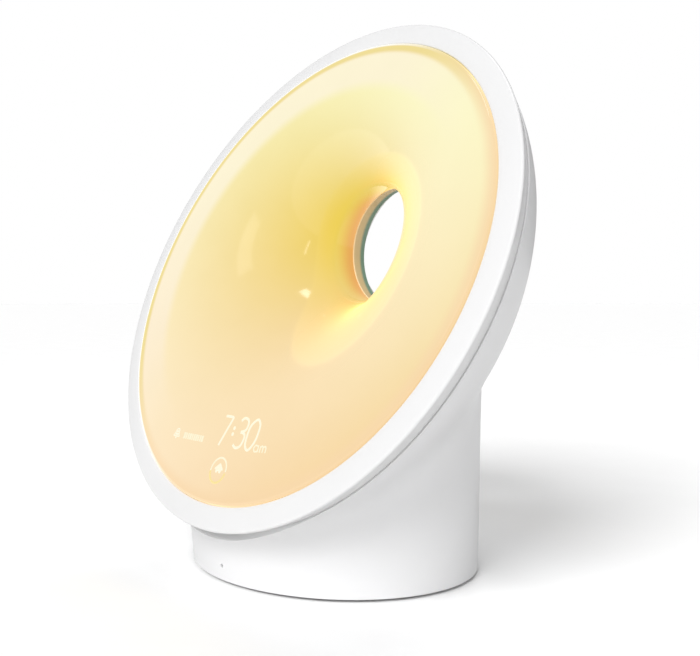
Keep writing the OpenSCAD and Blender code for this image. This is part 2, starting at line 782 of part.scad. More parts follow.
module dust_cap() color("black") at_speaker(plate_y - cone_depth + cone_wall) rotate_extrude() polygon([
    [0, 2.4], [0.5 * coil_in_r, 1.9], [coil_in_r - sliding_gap, 0.2], [coil_in_r - sliding_gap, 0],
    [0.5 * coil_in_r, 1.4], [0, 1.9]
]);

module speaker_surround() color("dimgray") at_speaker(plate_y) rotate_extrude() translate([0, speaker_plate_t / 2])
    difference() {
        translate([(cone_r + surround_r) / 2, 0]) circle(r = (surround_r - cone_r) / 2);
        translate([(cone_r + surround_r) / 2, 0]) circle(r = (surround_r - cone_r) / 2 - 0.5);
        translate([0, -big / 2]) square([big, big / 2]);
    }

module speaker_screws() color("silver") at_speaker(plate_y) speaker_screw_places()
    rotate([180, 0, 0]) screw(tiny_screw, speaker_plate_t + gasket_t + 4);

// ---------------------------------------------------------------- electronics

// The round power inlet's axis, from the inner side of the back wall outwards
module port_places(z) {
    translate([-port_x, port_face_y, z]) rotate([-90, 0, 0]) children();
}

module audio_place() {
    translate([0, port_face_y, audio_z]) rotate([-90, 0, 0]) children();
}

module board_post_places() {
    for (sx = [-1, 1]) for (sy = [-1, 1])
        translate([sx * (board_w / 2 - board_post_in), board_mid_y + sy * (board_l / 2 - board_post_in), 0])
            children();
}

module main_board() color("seagreen") difference() {
    translate([-board_w / 2, board_mid_y - board_l / 2, board_z]) cube([board_w, board_l, board_t]);
    board_post_places() translate([0, 0, board_z - 1]) cylinder(r = small_screw[2] + screw_gap, h = board_t + 2);
}

module board_screws() color("silver") board_post_places()
    translate([0, 0, board_top]) screw(small_screw, board_t + board_post_h);

// A processor, two coils, three capacitors and the plugs that the cables end in
module board_parts() color("black") translate([0, board_mid_y, board_top]) {
    translate([2, -8, 0]) cube([14, 14, 1.6]);
    for (y = [6, 16]) translate([-26, y, 0]) cube([8, 8, 5]);
    for (x = [0, 9, 18]) translate([x - 2, 14, 0]) cylinder(r = 3.2, h = 9);
}

// The socket's face lies just inside the outer surface of the back wall
function wall_y(x) = base_back * sqrt(1 - pow(x / column_rx, 2));

module power_inlet() color("black") difference() {
    union() {
        translate([-port_x - inlet_body[0] / 2, port_face_y - inlet_body[1] - slip, board_top]) cube(inlet_body);
        port_places(inlet_z) translate([0, 0, -1]) cylinder(r = port_nose_r, h = nose_l(port_x + port_nose_r) + 1);
    }
    port_places(inlet_z) difference() {
        translate([0, 0, nose_l(port_x + port_nose_r) - power_bore_l]) cylinder(r = power_bore_r, h = big / 8);
        cylinder(r = power_pin_r, h = nose_l(port_x + port_nose_r) - 0.5);
        translate([0, 0, -power_bore_l]) cylinder(r = power_pin_r, h = power_bore_l + 1);
    }
}

function nose_l(x) = wall_y(x) - port_face_y - 2 * slip;

module audio_socket() color("black") difference() {
    union() {
        translate([-audio_body[0] / 2, port_face_y - audio_body[1] - slip, board_top]) cube(audio_body);
        audio_place() translate([0, 0, -1]) cylinder(r = audio_nose_r, h = nose_l(audio_nose_r) + 1);
    }
    audio_place() translate([0, 0, nose_l(audio_nose_r) - audio_bore_l]) cylinder(r = audio_bore_r, h = big / 8);
}

module usb_port() color("silver") {
    usb_y = port_face_y - slip - usb_l;
    translate([port_x - usb_w / 2 - usb_wall, usb_y, board_top]) difference() {
        cube([usb_w + 2 * usb_wall, usb_l, usb_h + 2 * usb_wall]);
        translate([usb_wall, 1, usb_wall]) cube([usb_w, usb_l, usb_h]);
    }
    translate([port_x - usb_w / 2 + 0.5, usb_y + 0.5, board_top + usb_wall + usb_h - usb_tongue_t - 0.6])
        cube([usb_w - 1, usb_l - 3, usb_tongue_t]);
}

module cell_holder() color("dimgray") translate([cell_at[0], cell_at[1], board_top]) difference() {
    cylinder(r = cell_r + 1.5, h = 2.6);
    translate([0, 0, 1]) cylinder(r = cell_r + sliding_gap, h = 4);
}

module backup_cell() color("silver") translate([cell_at[0], cell_at[1], board_top + 1])
    cylinder(r = cell_r, h = cell_t);

module led_cable() color("white") cable(led_route, cable_r);
module display_cable() color("white") cable(display_route, cable_r);
module speaker_cable() color("white") cable(speaker_route, cable_r);
module button_cable() color("white") cable(button_route, cable_r);

// ---------------------------------------------------------------- nodes

front_ring();
diffuser();
hole_collar();
rear_housing();
bottom_cover();
foot_mat();
reflector();
led_board();
leds();
led_screws();
display_board();
display_mask();
display_bars();
display_screws();
light_button();
alarm_button();
light_plunger();
alarm_plunger();
button_board();
button_switches();
button_screws();
speaker_frame();
speaker_magnet();
speaker_cone();
dust_cap();
voice_coil();
speaker_surround();
speaker_gasket();
speaker_screws();
main_board();
board_parts();
power_inlet();
audio_socket();
usb_port();
cell_holder();
backup_cell();
board_screws();
cover_screws();
sensor_lens();
led_cable();
display_cable();
speaker_cable();
button_cable();
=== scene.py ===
# A sunrise alarm clock: a leaning, glowing ring light on an oval base.
# Shapes are worked out in millimetres, and they become metres when a mesh is made.
# Materials, lights and the camera are in metres throughout.
import json
import math

import bmesh
import bpy
import numpy as np
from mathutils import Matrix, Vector


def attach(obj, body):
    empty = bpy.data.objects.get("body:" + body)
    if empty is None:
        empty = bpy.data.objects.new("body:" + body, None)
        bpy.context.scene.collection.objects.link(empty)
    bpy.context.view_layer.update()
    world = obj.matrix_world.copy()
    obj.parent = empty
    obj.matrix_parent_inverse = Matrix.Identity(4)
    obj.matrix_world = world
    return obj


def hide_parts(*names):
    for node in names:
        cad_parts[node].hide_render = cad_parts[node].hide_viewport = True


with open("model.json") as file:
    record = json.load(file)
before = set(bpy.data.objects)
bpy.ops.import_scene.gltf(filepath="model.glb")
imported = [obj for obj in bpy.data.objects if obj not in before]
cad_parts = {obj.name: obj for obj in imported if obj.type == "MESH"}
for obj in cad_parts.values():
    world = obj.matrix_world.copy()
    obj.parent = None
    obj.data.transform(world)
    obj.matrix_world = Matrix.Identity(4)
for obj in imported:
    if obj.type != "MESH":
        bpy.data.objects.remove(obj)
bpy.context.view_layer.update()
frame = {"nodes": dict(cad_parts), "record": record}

MM = 0.001
RAD = math.radians

# ---------------------------------------------------------------- places and sizes

# the ring: its axes, its middle and its radii
LEAN = RAD(24)
FACE = np.array([0.0, -math.cos(LEAN), math.sin(LEAN)])
UP = np.array([0.0, math.sin(LEAN), math.cos(LEAN)])
SIDE = np.array([1.0, 0.0, 0.0])
DISC_MID = np.array([0.0, -22.5, 123.0])
DISC_R = 109.5
RING_IN_R = 100.1
DIFF_R = 99.8
FLANGE_R = 101.6
SEAM_BACK = 7.4  # from the face back to the seam of ring and housing

# the see-through hole, in the ring's own axes, with its lining and the rounding behind it
HOLE_LEAN = RAD(19)
HOLE_R = 26.3
HOLE_MID = np.array([0.0, 30.0, -48.3])
HOLE_AXIS = np.array([0.0, -math.sin(HOLE_LEAN), math.cos(HOLE_LEAN)])
HOLE_UP = np.array([0.0, math.cos(HOLE_LEAN), math.sin(HOLE_LEAN)])
COLLAR_L = 7.0
COLLAR_FLARE = 1.3
FLARE_R = 12.5

# the bowl behind the ring: part of an ellipsoid whose middle lies in front of the face
BOWL_LEAD = 13.3
BOWL_B = 83.5
BOWL_RIM_BACK, BOWL_RIM_IN = 4.5, 1
BOWL_A = (DISC_R - BOWL_RIM_IN) / math.sqrt(1 - ((BOWL_RIM_BACK + BOWL_LEAD) / BOWL_B) ** 2)

# the housing's lower edge and its wall
HOUSING_LOW = 1.2
WALL = 2.6


def to_world(p):
    """From the ring's own axes (across, up along the ring, out of its face) to the shared frame."""
    p = np.asarray(p, float)
    return DISC_MID + p[..., 0:1] * SIDE + p[..., 1:2] * UP + p[..., 2:3] * FACE


def to_disc(p):
    """From the shared frame to the ring's own axes."""
    q = np.asarray(p, float) - DISC_MID
    return np.stack([q @ SIDE, q @ UP, q @ FACE], -1)


def hole_to_disc(p):
    """From the hole's own axes (across, up, forwards along the hole) to the ring's."""
    p = np.asarray(p, float)
    return HOLE_MID + p[..., 0:1] * SIDE + p[..., 1:2] * HOLE_UP + p[..., 2:3] * HOLE_AXIS


def disc_to_hole(p):
    """From the ring's own axes to the hole's."""
    q = np.asarray(p, float) - HOLE_MID
    return np.stack([q @ SIDE, q @ HOLE_UP, q @ HOLE_AXIS], -1)


# ---------------------------------------------------------------- nodes for the materials

NOISE_LOW, NOISE_HIGH = 0.3, 0.7  # the noise texture seldom leaves this range
RAMP_START, RAMP_END = 0.35, 0.65


def new_material(name):
    material = bpy.data.materials.new(name)
    material.use_nodes = True
    tree = material.node_tree
    tree.nodes.clear()
    out = tree.nodes.new("ShaderNodeOutputMaterial")
    shader = tree.nodes.new("ShaderNodeBsdfPrincipled")
    tree.links.new(shader.outputs["BSDF"], out.inputs["Surface"])
    return material, tree, shader


def feed(tree, socket, value):
    """Gives a socket a node's output, or else a plain value."""
    if isinstance(value, bpy.types.NodeSocket):
        tree.links.new(value, socket)
    else:
        socket.default_value = value


def noise(tree, scale, detail=2.0):
    texture = tree.nodes.new("ShaderNodeTexNoise")
    texture.inputs["Scale"].default_value = scale
    texture.inputs["Detail"].default_value = detail
    coord = tree.nodes.new("ShaderNodeTexCoord")
    tree.links.new(coord.outputs["Object"], texture.inputs["Vector"])
    return texture.outputs["Fac"]


def ramp(tree, value, low, high):
    """A colour that goes from low to high as a noise's value rises."""
    node = tree.nodes.new("ShaderNodeValToRGB")
    first, last = node.color_ramp.elements
    first.position, first.color = RAMP_START, (*low, 1)
    last.position, last.color = RAMP_END, (*high, 1)
    tree.links.new(value, node.inputs["Fac"])
    return node.outputs["Color"]


def mapped(tree, value, from_low, from_high, to_low=0.0, to_high=1.0, smooth=False):
    node = tree.nodes.new("ShaderNodeMapRange")
    if smooth:
        node.interpolation_type = "SMOOTHSTEP"
    for key, number in (("From Min", from_low), ("From Max", from_high),
                        ("To Min", to_low), ("To Max", to_high)):
        node.inputs[key].default_value = number
    tree.links.new(value, node.inputs["Value"])
    return node.outputs["Result"]


def eased(tree, value, start, end, top=1.0):
    """From 0 at start to top at end, with soft ends."""
    return mapped(tree, value, start, end, 0.0, top, smooth=True)


def mixed(tree, factor, a, b):
    """Between two colours, each a colour or a node's output."""
    node = tree.nodes.new("ShaderNodeMix")
    node.data_type = "RGBA"
    tree.links.new(factor, node.inputs[0])
    for socket, colour in ((node.inputs[6], a), (node.inputs[7], b)):
        feed(tree, socket, (*colour, 1) if isinstance(colour, tuple) else colour)
    return node.outputs[2]


def vector_math(tree, operation, *values):
    """A vector node; each value is a plain vector or a node's output."""
    node = tree.nodes.new("ShaderNodeVectorMath")
    node.operation = operation
    for socket, value in zip(node.inputs, values):
        feed(tree, socket, value)
    return node


def dot(tree, vector, direction):
    return vector_math(tree, "DOT_PRODUCT", vector, tuple(direction)).outputs["Value"]


def at_least(tree, vector, floor):
    return vector_math(tree, "MAXIMUM", vector, floor).outputs["Vector"]


def scaled(tree, value, vector):
    """A plain vector times a number that a node gives."""
    node = vector_math(tree, "SCALE", vector)
    tree.links.new(value, node.inputs["Scale"])
    return node.outputs["Vector"]


def added(tree, *vectors):
    total = vectors[0]
    for vector in vectors[1:]:
        total = vector_math(tree, "ADD", total, vector).outputs["Vector"]
    return total


def times(tree, a, b):
    node = tree.nodes.new("ShaderNodeMath")
    node.operation = "MULTIPLY"
    tree.links.new(a, node.inputs[0])
    tree.links.new(b, node.inputs[1])
    return node.outputs["Value"]


def bumped(tree, shader, height, strength, distance):
    node = tree.nodes.new("ShaderNodeBump")
    node.inputs["Strength"].default_value = strength
    node.inputs["Distance"].default_value = distance
    tree.links.new(height, node.inputs["Height"])
    tree.links.new(node.outputs["Normal"], shader.inputs["Normal"])


def uneven_gloss(tree, shader, scale, low, high):
    """Roughness that wanders between low and high."""
    wander = mapped(tree, noise(tree, scale), NOISE_LOW, NOISE_HIGH, low, high)
    tree.links.new(wander, shader.inputs["Roughness"])


def ring_place(tree):
    """The point in the ring's own axes, in metres."""
    coord = tree.nodes.new("ShaderNodeTexCoord")
    place = tree.nodes.new("ShaderNodeMapping")
    place.vector_type = "TEXTURE"
    place.inputs["Location"].default_value = tuple(DISC_MID * MM)
    place.inputs["Rotation"].default_value = (math.pi / 2 - LEAN, 0, 0)
    tree.links.new(coord.outputs["Object"], place.inputs["Vector"])
    return place.outputs["Vector"]


# ---------------------------------------------------------------- materials

GRAIN_DEPTH = 0.00005
TONE_SCALE, TONE_DETAIL = 18.0, 3.0
GLOSS_SHARE = 0.35  # the gloss wanders in patches larger than the grain
COAT_ROUGHNESS = 0.15


def surface(name, low, high, rough, grain, metallic=0.0, coat=0.0, bump=0.15, rough_spread=0.06):
    """Moulded plastic, rubber, paint or metal: slow tone changes, a fine grain and uneven gloss."""
    material, tree, shader = new_material(name)
    tone = ramp(tree, noise(tree, TONE_SCALE, TONE_DETAIL), low, high)
    tree.links.new(tone, shader.inputs["Base Color"])
    uneven_gloss(tree, shader, grain * GLOSS_SHARE, rough - rough_spread, rough + rough_spread)
    bumped(tree, shader, noise(tree, grain, 1.0), bump, GRAIN_DEPTH)
    shader.inputs["Metallic"].default_value = metallic
    shader.inputs["Coat Weight"].default_value = coat
    shader.inputs["Coat Roughness"].default_value = COAT_ROUGHNESS
    return material


# the diffuser's own dim colours under its light, and those of the marks that shine through it
GLOW_BODY = ((0.050, 0.046, 0.034), (0.056, 0.052, 0.040))

# the glow before anything is laid over it: its colour at the ring's middle, and the least it has
GLOW_BASE, GLOW_LEAST = (0.869, 0.744, 0.427), (0.70, 0.50, 0.07)

# colours laid over the glow, and the distances from the middle over which each one comes in
# painted reflection: the cream stands for the bright surroundings mirrored in the glossy rim on its
# upper left, laid into the glow's colour
CREAM_REFLECTION_LOW, CREAM_REFLECTION_HIGH, CREAM_REFLECTION_BAND = (0.885, 0.755, 0.565), (0.885, 0.815, 0.59), (0.0775, 0.0840)
CREAM_REFLECTION_CHANGE = (-0.05, 0.05)  # along the ring, from the low cream to the high one
# the peach round the rim is partly the glow's colour there and partly a painted reflection of the
# bright surroundings in the glossy rim
RIM_PEACH_AND_REFLECTION, PEACH_AND_REFLECTION_BAND, PEACH_AND_REFLECTION_SHARE = (0.86, 0.62, 0.36), (0.0935, 0.0998), 0.85
# the darker amber line on the upper left of the rim is the diffuser's edge wall seen side-on,
# darkened by painted shade of the groove between ring and diffuser
RIM_EDGE_AMBER_AND_SHADE, AMBER_EDGE_AND_SHADE_BAND = (0.77, 0.63, 0.23), (0.0945, 0.0968)
# painted highlight: a pale glint at the outermost rim on the far side, where the ring's inner lip
# catches the light
RIM_PAINTED_GLINT, PAINTED_GLINT_BAND = (0.90, 0.88, 0.80), (0.0982, 0.0989)
LIP_ORANGE, LIP_HALO, LIP_SHARE = (0.74, 0.33, 0.06), (0.012, 0.001), 0.95

# sides of the face: a way across it, and how far along that way the side begins and is full
# the upper left carries the painted reflection and the painted shade of the groove; the far side
# carries the painted glint
UPPER_LEFT, UPPER_LEFT_SPAN = (-0.7, 0.7, 0), (-0.030, 0.045)
FAR_SIDE, FAR_SIDE_SPAN = (-0.9, 0.4, 0), (-0.020, 0.030)
LEFT_WALL_SPAN = (0.0, 0.7)  # of how far the surface faces right


def make_glow():
    """The lit diffuser: pale yellow above and peach below, deeper and more golden down the throat,
    most of all on its left wall, with an orange glow at the hole. At the rim it carries painted
    light:
    a cream painted reflection of the bright surroundings on the upper left, peach that is partly a
    painted reflection all round, a darker amber line on the upper left that is the diffuser's edge
    wall with painted shade of the groove, and a painted glint on the far side."""
    material, tree, shader = new_material("glow")
    place = ring_place(tree)
    across, along, out = (dot(tree, place, axis) for axis in np.eye(3))
    normal = tree.nodes.new("ShaderNodeNewGeometry").outputs["Normal"]
    facing = dot(tree, normal, SIDE)
    lifted = dot(tree, normal, UP)
    # what the light gains for each metre of a place, and for the way that the surface faces
    light = added(
        tree,
        scaled(tree, out, (2.66, 6.79, 8.70)),
        scaled(tree, facing, (-0.055, -0.102, -0.199)),
        scaled(tree, along, (-0.036, 0.940, 0.294)),
        scaled(tree, lifted, (0.021, 0.036, 0.076)),
        scaled(tree, times(tree, across, along), (4.64, 12.21, 17.76)),
        scaled(tree, times(tree, facing, out), (-1.13, -5.73, -7.12)),
        scaled(tree, times(tree, facing, facing), (0.028, -0.045, -0.079)),
        GLOW_BASE,
    )
    light = at_least(tree, light, GLOW_LEAST)

    on_face = vector_math(tree, "MULTIPLY", place, (1, 1, 0)).outputs["Vector"]
    from_middle = vector_math(tree, "LENGTH", on_face).outputs["Value"]
    upper_left = eased(tree, dot(tree, place, UPPER_LEFT), *UPPER_LEFT_SPAN)
    # painted reflection: cream over the outer part of the face on the upper left, for the bright
    # surroundings mirrored in the glossy rim
    cream = mixed(tree, mapped(tree, along, *CREAM_REFLECTION_CHANGE), CREAM_REFLECTION_LOW, CREAM_REFLECTION_HIGH)
    band = eased(tree, from_middle, *CREAM_REFLECTION_BAND)
    light = mixed(tree, times(tree, band, upper_left), light, cream)
    # peach round the rim: the glow's colour with a painted reflection of the bright surroundings
    light = mixed(tree, eased(tree, from_middle, *PEACH_AND_REFLECTION_BAND, PEACH_AND_REFLECTION_SHARE), light, RIM_PEACH_AND_REFLECTION)
    # the diffuser's edge wall on the upper left, with painted shade of the groove between ring and
    # diffuser
    line = eased(tree, from_middle, *AMBER_EDGE_AND_SHADE_BAND)
    light = mixed(tree, times(tree, line, upper_left), light, RIM_EDGE_AMBER_AND_SHADE)
    # painted highlight: the pale glint on the far side of the rim
    far_side = eased(tree, dot(tree, place, FAR_SIDE), *FAR_SIDE_SPAN)
    glint = eased(tree, from_middle, *PAINTED_GLINT_BAND)
    light = mixed(tree, times(tree, glint, far_side), light, RIM_PAINTED_GLINT)

    lip = float(HOLE_MID @ HOLE_AXIS) * MM
    halo = eased(tree, dot(tree, place, HOLE_AXIS), lip + LIP_HALO[0], lip + LIP_HALO[1])
    left_wall = eased(tree, facing, *LEFT_WALL_SPAN, LIP_SHARE)
    light = mixed(tree, times(tree, halo, left_wall), light, LIP_ORANGE)
    tree.links.new(light, shader.inputs["Emission Color"])
    shader.inputs["Emission Strength"].default_value = 1.0
    tree.links.new(ramp(tree, noise(tree, 60.0), *GLOW_BODY), shader.inputs["Base Color"])
    uneven_gloss(tree, shader, 900.0, 0.09, 0.12)
    bumped(tree, shader, noise(tree, 3000.0, 1.0), 0.02, 0.00002)
    return material


def make_lit(name, low, high, strength, body):
    """A mark that shines through the diffuser, or a diode."""
    material, tree, shader = new_material(name)
    tree.links.new(ramp(tree, noise(tree, 2500.0), low, high), shader.inputs["Emission Color"])
    shader.inputs["Emission Strength"].default_value = strength
    tree.links.new(ramp(tree, noise(tree, 900.0), *body), shader.inputs["Base Color"])
    uneven_gloss(tree, shader, 900.0, 0.2, 0.3)
    return material


# the lining's colours, and how far behind its front the peach ends and the green begins
LINING_PEACH, LINING_TAN = (0.95, 0.74, 0.48), (0.62, 0.50, 0.28)
LINING_GREEN, LINING_GREEN_PATCH = (0.16, 0.28, 0.22), (0.24, 0.30, 0.24)
PEACH_END, GREEN_BEGIN = (0.0012, 0.0006), (0.0045, 0.0065)


def make_collar():
    """The hole's lining: a bright peach edge in front, then tan, then dark grey-green behind."""
    material, tree, shader = new_material("collar")
    depth = dot(tree, ring_place(tree), HOLE_AXIS)
    front = float(HOLE_MID @ HOLE_AXIS) * MM
    patches = mapped(tree, noise(tree, 120.0), NOISE_LOW, NOISE_HIGH, 0.0, 0.12)
    green = mixed(tree, patches, LINING_GREEN, LINING_GREEN_PATCH)
    behind = eased(tree, depth, *(front - back for back in GREEN_BEGIN))
    colour = mixed(tree, behind, LINING_TAN, green)
    edge = eased(tree, depth, *(front - back for back in PEACH_END))
    colour = mixed(tree, edge, colour, LINING_PEACH)
    tree.links.new(colour, shader.inputs["Base Color"])
    uneven_gloss(tree, shader, 700.0, 0.35, 0.45)
    bumped(tree, shader, noise(tree, 2500.0, 1.0), 0.04, 0.00003)
    return material


glow = make_glow()
collar_finish = make_collar()
white_shell = surface("white_shell", (0.70, 0.70, 0.705), (0.72, 0.72, 0.725), 0.38, 900.0,
                      coat=0.15, bump=0.006, rough_spread=0.02)
white_ring = surface("white_ring", (0.665, 0.665, 0.668), (0.68, 0.68, 0.683), 0.32, 700.0,
                     coat=0.25, bump=0.004, rough_spread=0.02)
black_plastic = surface("black_plastic", (0.012, 0.012, 0.013), (0.022, 0.022, 0.024), 0.45,
                        2400.0, bump=0.25)
dark_rubber = surface("dark_rubber", (0.020, 0.020, 0.022), (0.032, 0.032, 0.034), 0.75, 1700.0,
                      bump=0.5)
grey_cover = surface("grey_cover", (0.15, 0.15, 0.155), (0.18, 0.18, 0.185), 0.6, 1400.0, bump=0.45)
board_green = surface("board_green", (0.010, 0.075, 0.030), (0.016, 0.105, 0.042), 0.35, 900.0,
                      coat=0.3)
steel = surface("steel", (0.52, 0.52, 0.54), (0.62, 0.62, 0.64), 0.30, 3200.0, metallic=1.0)
copper = surface("copper", (0.60, 0.27, 0.13), (0.70, 0.33, 0.17), 0.35, 4000.0, metallic=1.0,
                 bump=0.4)
magnet = surface("magnet", (0.030, 0.030, 0.032), (0.050, 0.050, 0.052), 0.7, 1200.0, bump=0.4)
dark_paint = surface("dark_paint", (0.035, 0.037, 0.042), (0.050, 0.052, 0.058), 0.4, 1800.0,
                     coat=0.2)
paper_black = surface("paper_black", (0.010, 0.010, 0.010), (0.022, 0.022, 0.022), 0.85, 700.0,
                      bump=0.7)
white_matt = surface("white_matt", (0.74, 0.74, 0.72), (0.80, 0.80, 0.78), 0.6, 1500.0, bump=0.2)
lens_clear = surface("lens_clear", (0.10, 0.105, 0.115), (0.14, 0.145, 0.155), 0.08, 3000.0,
                     coat=0.6)
lit_white = make_lit("lit_white", (0.90, 0.85, 0.64), (0.92, 0.88, 0.70), 1.0, GLOW_BODY)
lit_dim = make_lit("lit_dim", (0.89, 0.82, 0.58), (0.91, 0.86, 0.65), 1.0, GLOW_BODY)
lit_yellow = make_lit("lit_yellow", (0.87, 0.69, 0.26), (0.89, 0.72, 0.31), 1.0, GLOW_BODY)
DIODE_COLOURS = ((1.0, 0.85, 0.50), (1.0, 0.90, 0.60))
diode_clear = make_lit("diode", *DIODE_COLOURS, 0.6, DIODE_COLOURS)

FINISH = {
    "ring_white": white_ring, "glow": glow, "collar": collar_finish, "housing_white": white_shell,
    "cover_grey": grey_cover, "mat_rubber": dark_rubber, "reflector_white": white_matt,
    "circuit_board": board_green, "diode": diode_clear, "screw_steel": steel,
    "mask_black": black_plastic, "bar_glow": lit_white, "button_white": white_ring,
    "frame_steel": dark_paint, "magnet_grey": magnet, "cone_black": paper_black,
    "coil_copper": copper, "surround_rubber": dark_rubber, "port_steel": steel,
    "cell_steel": steel, "lens_grey": lens_clear, "cable_white": white_matt,
}
for entry in frame["record"]["subparts"]:
    data = frame["nodes"][entry["node"]].data
    if not data.materials:
        data.materials.append(None)
    for i in range(len(data.materials)):
        data.materials[i] = FINISH[entry["material_slot"]]


# ---------------------------------------------------------------- making meshes

def make(name, points, faces, material, body="housing", stands_for=()):
    """A piece from points in the shared frame, in millimetres."""
    mesh = bpy.data.meshes.new(name)
    mesh.from_pydata((np.asarray(points) * MM).tolist(), [], [list(map(int, f)) for f in faces])
    mesh.validate()
    mesh.shade_smooth()
    piece = bpy.data.objects.new(name, mesh)
    bpy.context.scene.collection.objects.link(piece)
    mesh.materials.append(material)
    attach(piece, body)
    if stands_for:
        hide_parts(*stands_for)
    return piece


def sharpen(piece, degrees):
    piece.data.set_sharp_from_angle(angle=RAD(degrees))


def round_angles(count):
    return np.arange(count) * 2 * math.pi / count


def wrapped_quads(around, n):
    """Quads over sections of n points that run round. They face outwards where each section, seen
    with its height up and its radius to the right, runs clockwise."""
    i, j = np.meshgrid(np.arange(around), np.arange(n), indexing="ij")
    k, l = (i + 1) % around, (j + 1) % n
    return np.stack([i * n + j, i * n + l, k * n + l, k * n + j], -1).reshape(-1, 4)


def turned(profile, count, place):
    """A closed profile of (radius, height) turned about an axis; place takes its points to the
    shared frame."""
    profile = np.asarray(profile, float)
    n = len(profile)
    a = round_angles(count)[:, None]
    radius, height = profile[None, :, 0], profile[None, :, 1]
    p = np.stack([radius * np.cos(a), radius * np.sin(a), np.broadcast_to(height, (count, n))], -1)
    return place(p.reshape(-1, 3)), wrapped_quads(count, n)


def arc(centre, radius, start, end, steps):
    """Points of an arc in a profile, its angles in degrees."""
    turns = [RAD(start + (end - start) * i / steps) for i in range(steps + 1)]
    return [(centre[0] + radius * math.cos(t), centre[1] + radius * math.sin(t)) for t in turns]


# ---------------------------------------------------------------- the front ring

EDGE = 0.9   # the rounding of the outer edge
LIP = 0.5    # the rounding of the inner edge
FALL = 0.62  # how far the face falls back at its outer edge
RING_SECTIONS = 288
ring_profile = (
    # the face, which falls back a little towards its outer edge
    arc((RING_IN_R + LIP, -LIP), LIP, 180, 90, 5)
    + [(102.2, -0.04), (103.8, -0.12), (105.4, -0.24), (107.0, -0.40), (108.2, -0.56)]
    + arc((DISC_R - EDGE, -FALL - EDGE), EDGE, 78, -20, 9)
    # the skirt, which draws in to the seam, and the spigot inside it
    + [(109.0, -2.6), (108.1, -4.5), (107.15, -6.6), (107.0, -7.2), (105.4, -7.2), (105.4, -1.8)]
    + [(103.3, -1.8), (103.3, -9.2), (101.9, -9.2), (101.9, -1.8), (RING_IN_R, -1.8)]
)
points, faces = turned(ring_profile, RING_SECTIONS, to_world)
ring = make("front_ring_face", points, faces, white_ring,
            stands_for=["front_ring"])
sharpen(ring, 35)

# ---------------------------------------------------------------- the glowing diffuser

# a cubic from the rim to the hole's lip: how far its two handles reach
RIM_PULL, RIM_PULL_LOW, RIM_LIFT = 40.0, 10.0, 4.5
THROAT_PULL, THROAT_WAIST = 25.4, 8.7
PROUD = 0.8
DIFF_WALL = 2.2
DIFF_EDGE = ((0.0, -1.2), (0.0, PROUD - 0.85), (0.08, PROUD - 0.42), (0.3, PROUD - 0.12))
FLANGE_FRONT, FLANGE_BACK = -2.0, -4.0
GLOW_SECTIONS, GLOW_STEPS = ((240, 110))
NEWTON_STEPS = 12


def rim_way(a):
    """The way from the ring's middle to its rim."""
    return np.stack([np.cos(a), np.sin(a), np.zeros_like(a)], -1)


def lip_way(a):
    """The way from the hole's middle to its lip."""
    up = np.sin(a)
    return np.stack([np.cos(a), up * math.cos(HOLE_LEAN), up * math.sin(HOLE_LEAN)], -1)


def glow_point(a, t):
    """The glowing surface, in the ring's own axes: a runs round the rim, t from it to the hole."""
    a, t = np.broadcast_arrays(np.asarray(a, float), np.asarray(t, float))
    rim = DIFF_R * rim_way(a) + [0, 0, PROUD]
    pull = (RIM_PULL - RIM_PULL_LOW * np.sin(a))[..., None]
    rim_handle = rim - pull * rim_way(a) + [0, 0, RIM_LIFT]
    lip = HOLE_MID + HOLE_R * lip_way(a)
    lip_handle = lip + THROAT_PULL * HOLE_AXIS - THROAT_WAIST * lip_way(a)
    t = t[..., None]
    return ((1 - t) ** 3 * rim + 3 * t * (1 - t) ** 2 * rim_handle
            + 3 * t * t * (1 - t) * lip_handle + t ** 3 * lip)


def glow_normal(a, t, d=1e-4):
    """Outwards, towards the viewer of the light."""
    t = np.clip(t, d, 1 - d)
    along_t = glow_point(a, t + d) - glow_point(a, t - d)
    along_a = glow_point(a + d, t) - glow_point(a - d, t)
    n = np.cross(along_a, along_t)
    return n / np.linalg.norm(n, axis=-1, keepdims=True)


def diffuser_mesh(around, steps):
    """The glowing front, the edge at the lip, the back a wall's thickness behind, and a flange."""
    a = round_angles(around)
    rings = [(DIFF_R - inset) * rim_way(a) + [0, 0, w] for inset, w in DIFF_EDGE]
    rings += [glow_point(a, t) for t in np.linspace(0.008, 1, steps)]
    rings.append(glow_point(a, 1.0) + DIFF_WALL * lip_way(a))
    rings += [glow_point(a, t) - DIFF_WALL * glow_normal(a, t)
              for t in np.linspace(0.97, 0.03, steps // 3)]
    rings += [r * rim_way(a) + [0, 0, w]
              for r, w in ((DIFF_R - DIFF_WALL, FLANGE_BACK), (FLANGE_R, FLANGE_BACK),
                           (FLANGE_R, FLANGE_FRONT), (DIFF_R, FLANGE_FRONT))]
    points = np.stack(rings[::-1], 1).reshape(-1, 3)
    return to_world(points), wrapped_quads(around, len(rings))


points, faces = diffuser_mesh(GLOW_SECTIONS, GLOW_STEPS)
diffuser = make("glowing_front", points, faces, glow, stands_for=["diffuser"])
sharpen(diffuser, 50)


def glow_at(x, v):
    """The glowing surface's point and normal at a place on the face, by Newton's method."""
    x, v = np.asarray(x, float), np.asarray(v, float)
    a = np.arctan2(v, x)
    t = np.full_like(a, 0.2)
    d = 1e-5
    for _ in range(NEWTON_STEPS):
        p = glow_point(a, t)
        pa, pt = (glow_point(a + d, t) - p) / d, (glow_point(a, t + d) - p) / d
        ex, ev = x - p[..., 0], v - p[..., 1]
        det = pa[..., 0] * pt[..., 1] - pa[..., 1] * pt[..., 0]
        a = a + (ex * pt[..., 1] - ev * pt[..., 0]) / det
        t = np.clip(t + (pa[..., 0] * ev - pa[..., 1] * ex) / det, 0.001, 0.9)
    return glow_point(a, t), glow_normal(a, t)


# ---------------------------------------------------------------- the hole's lining

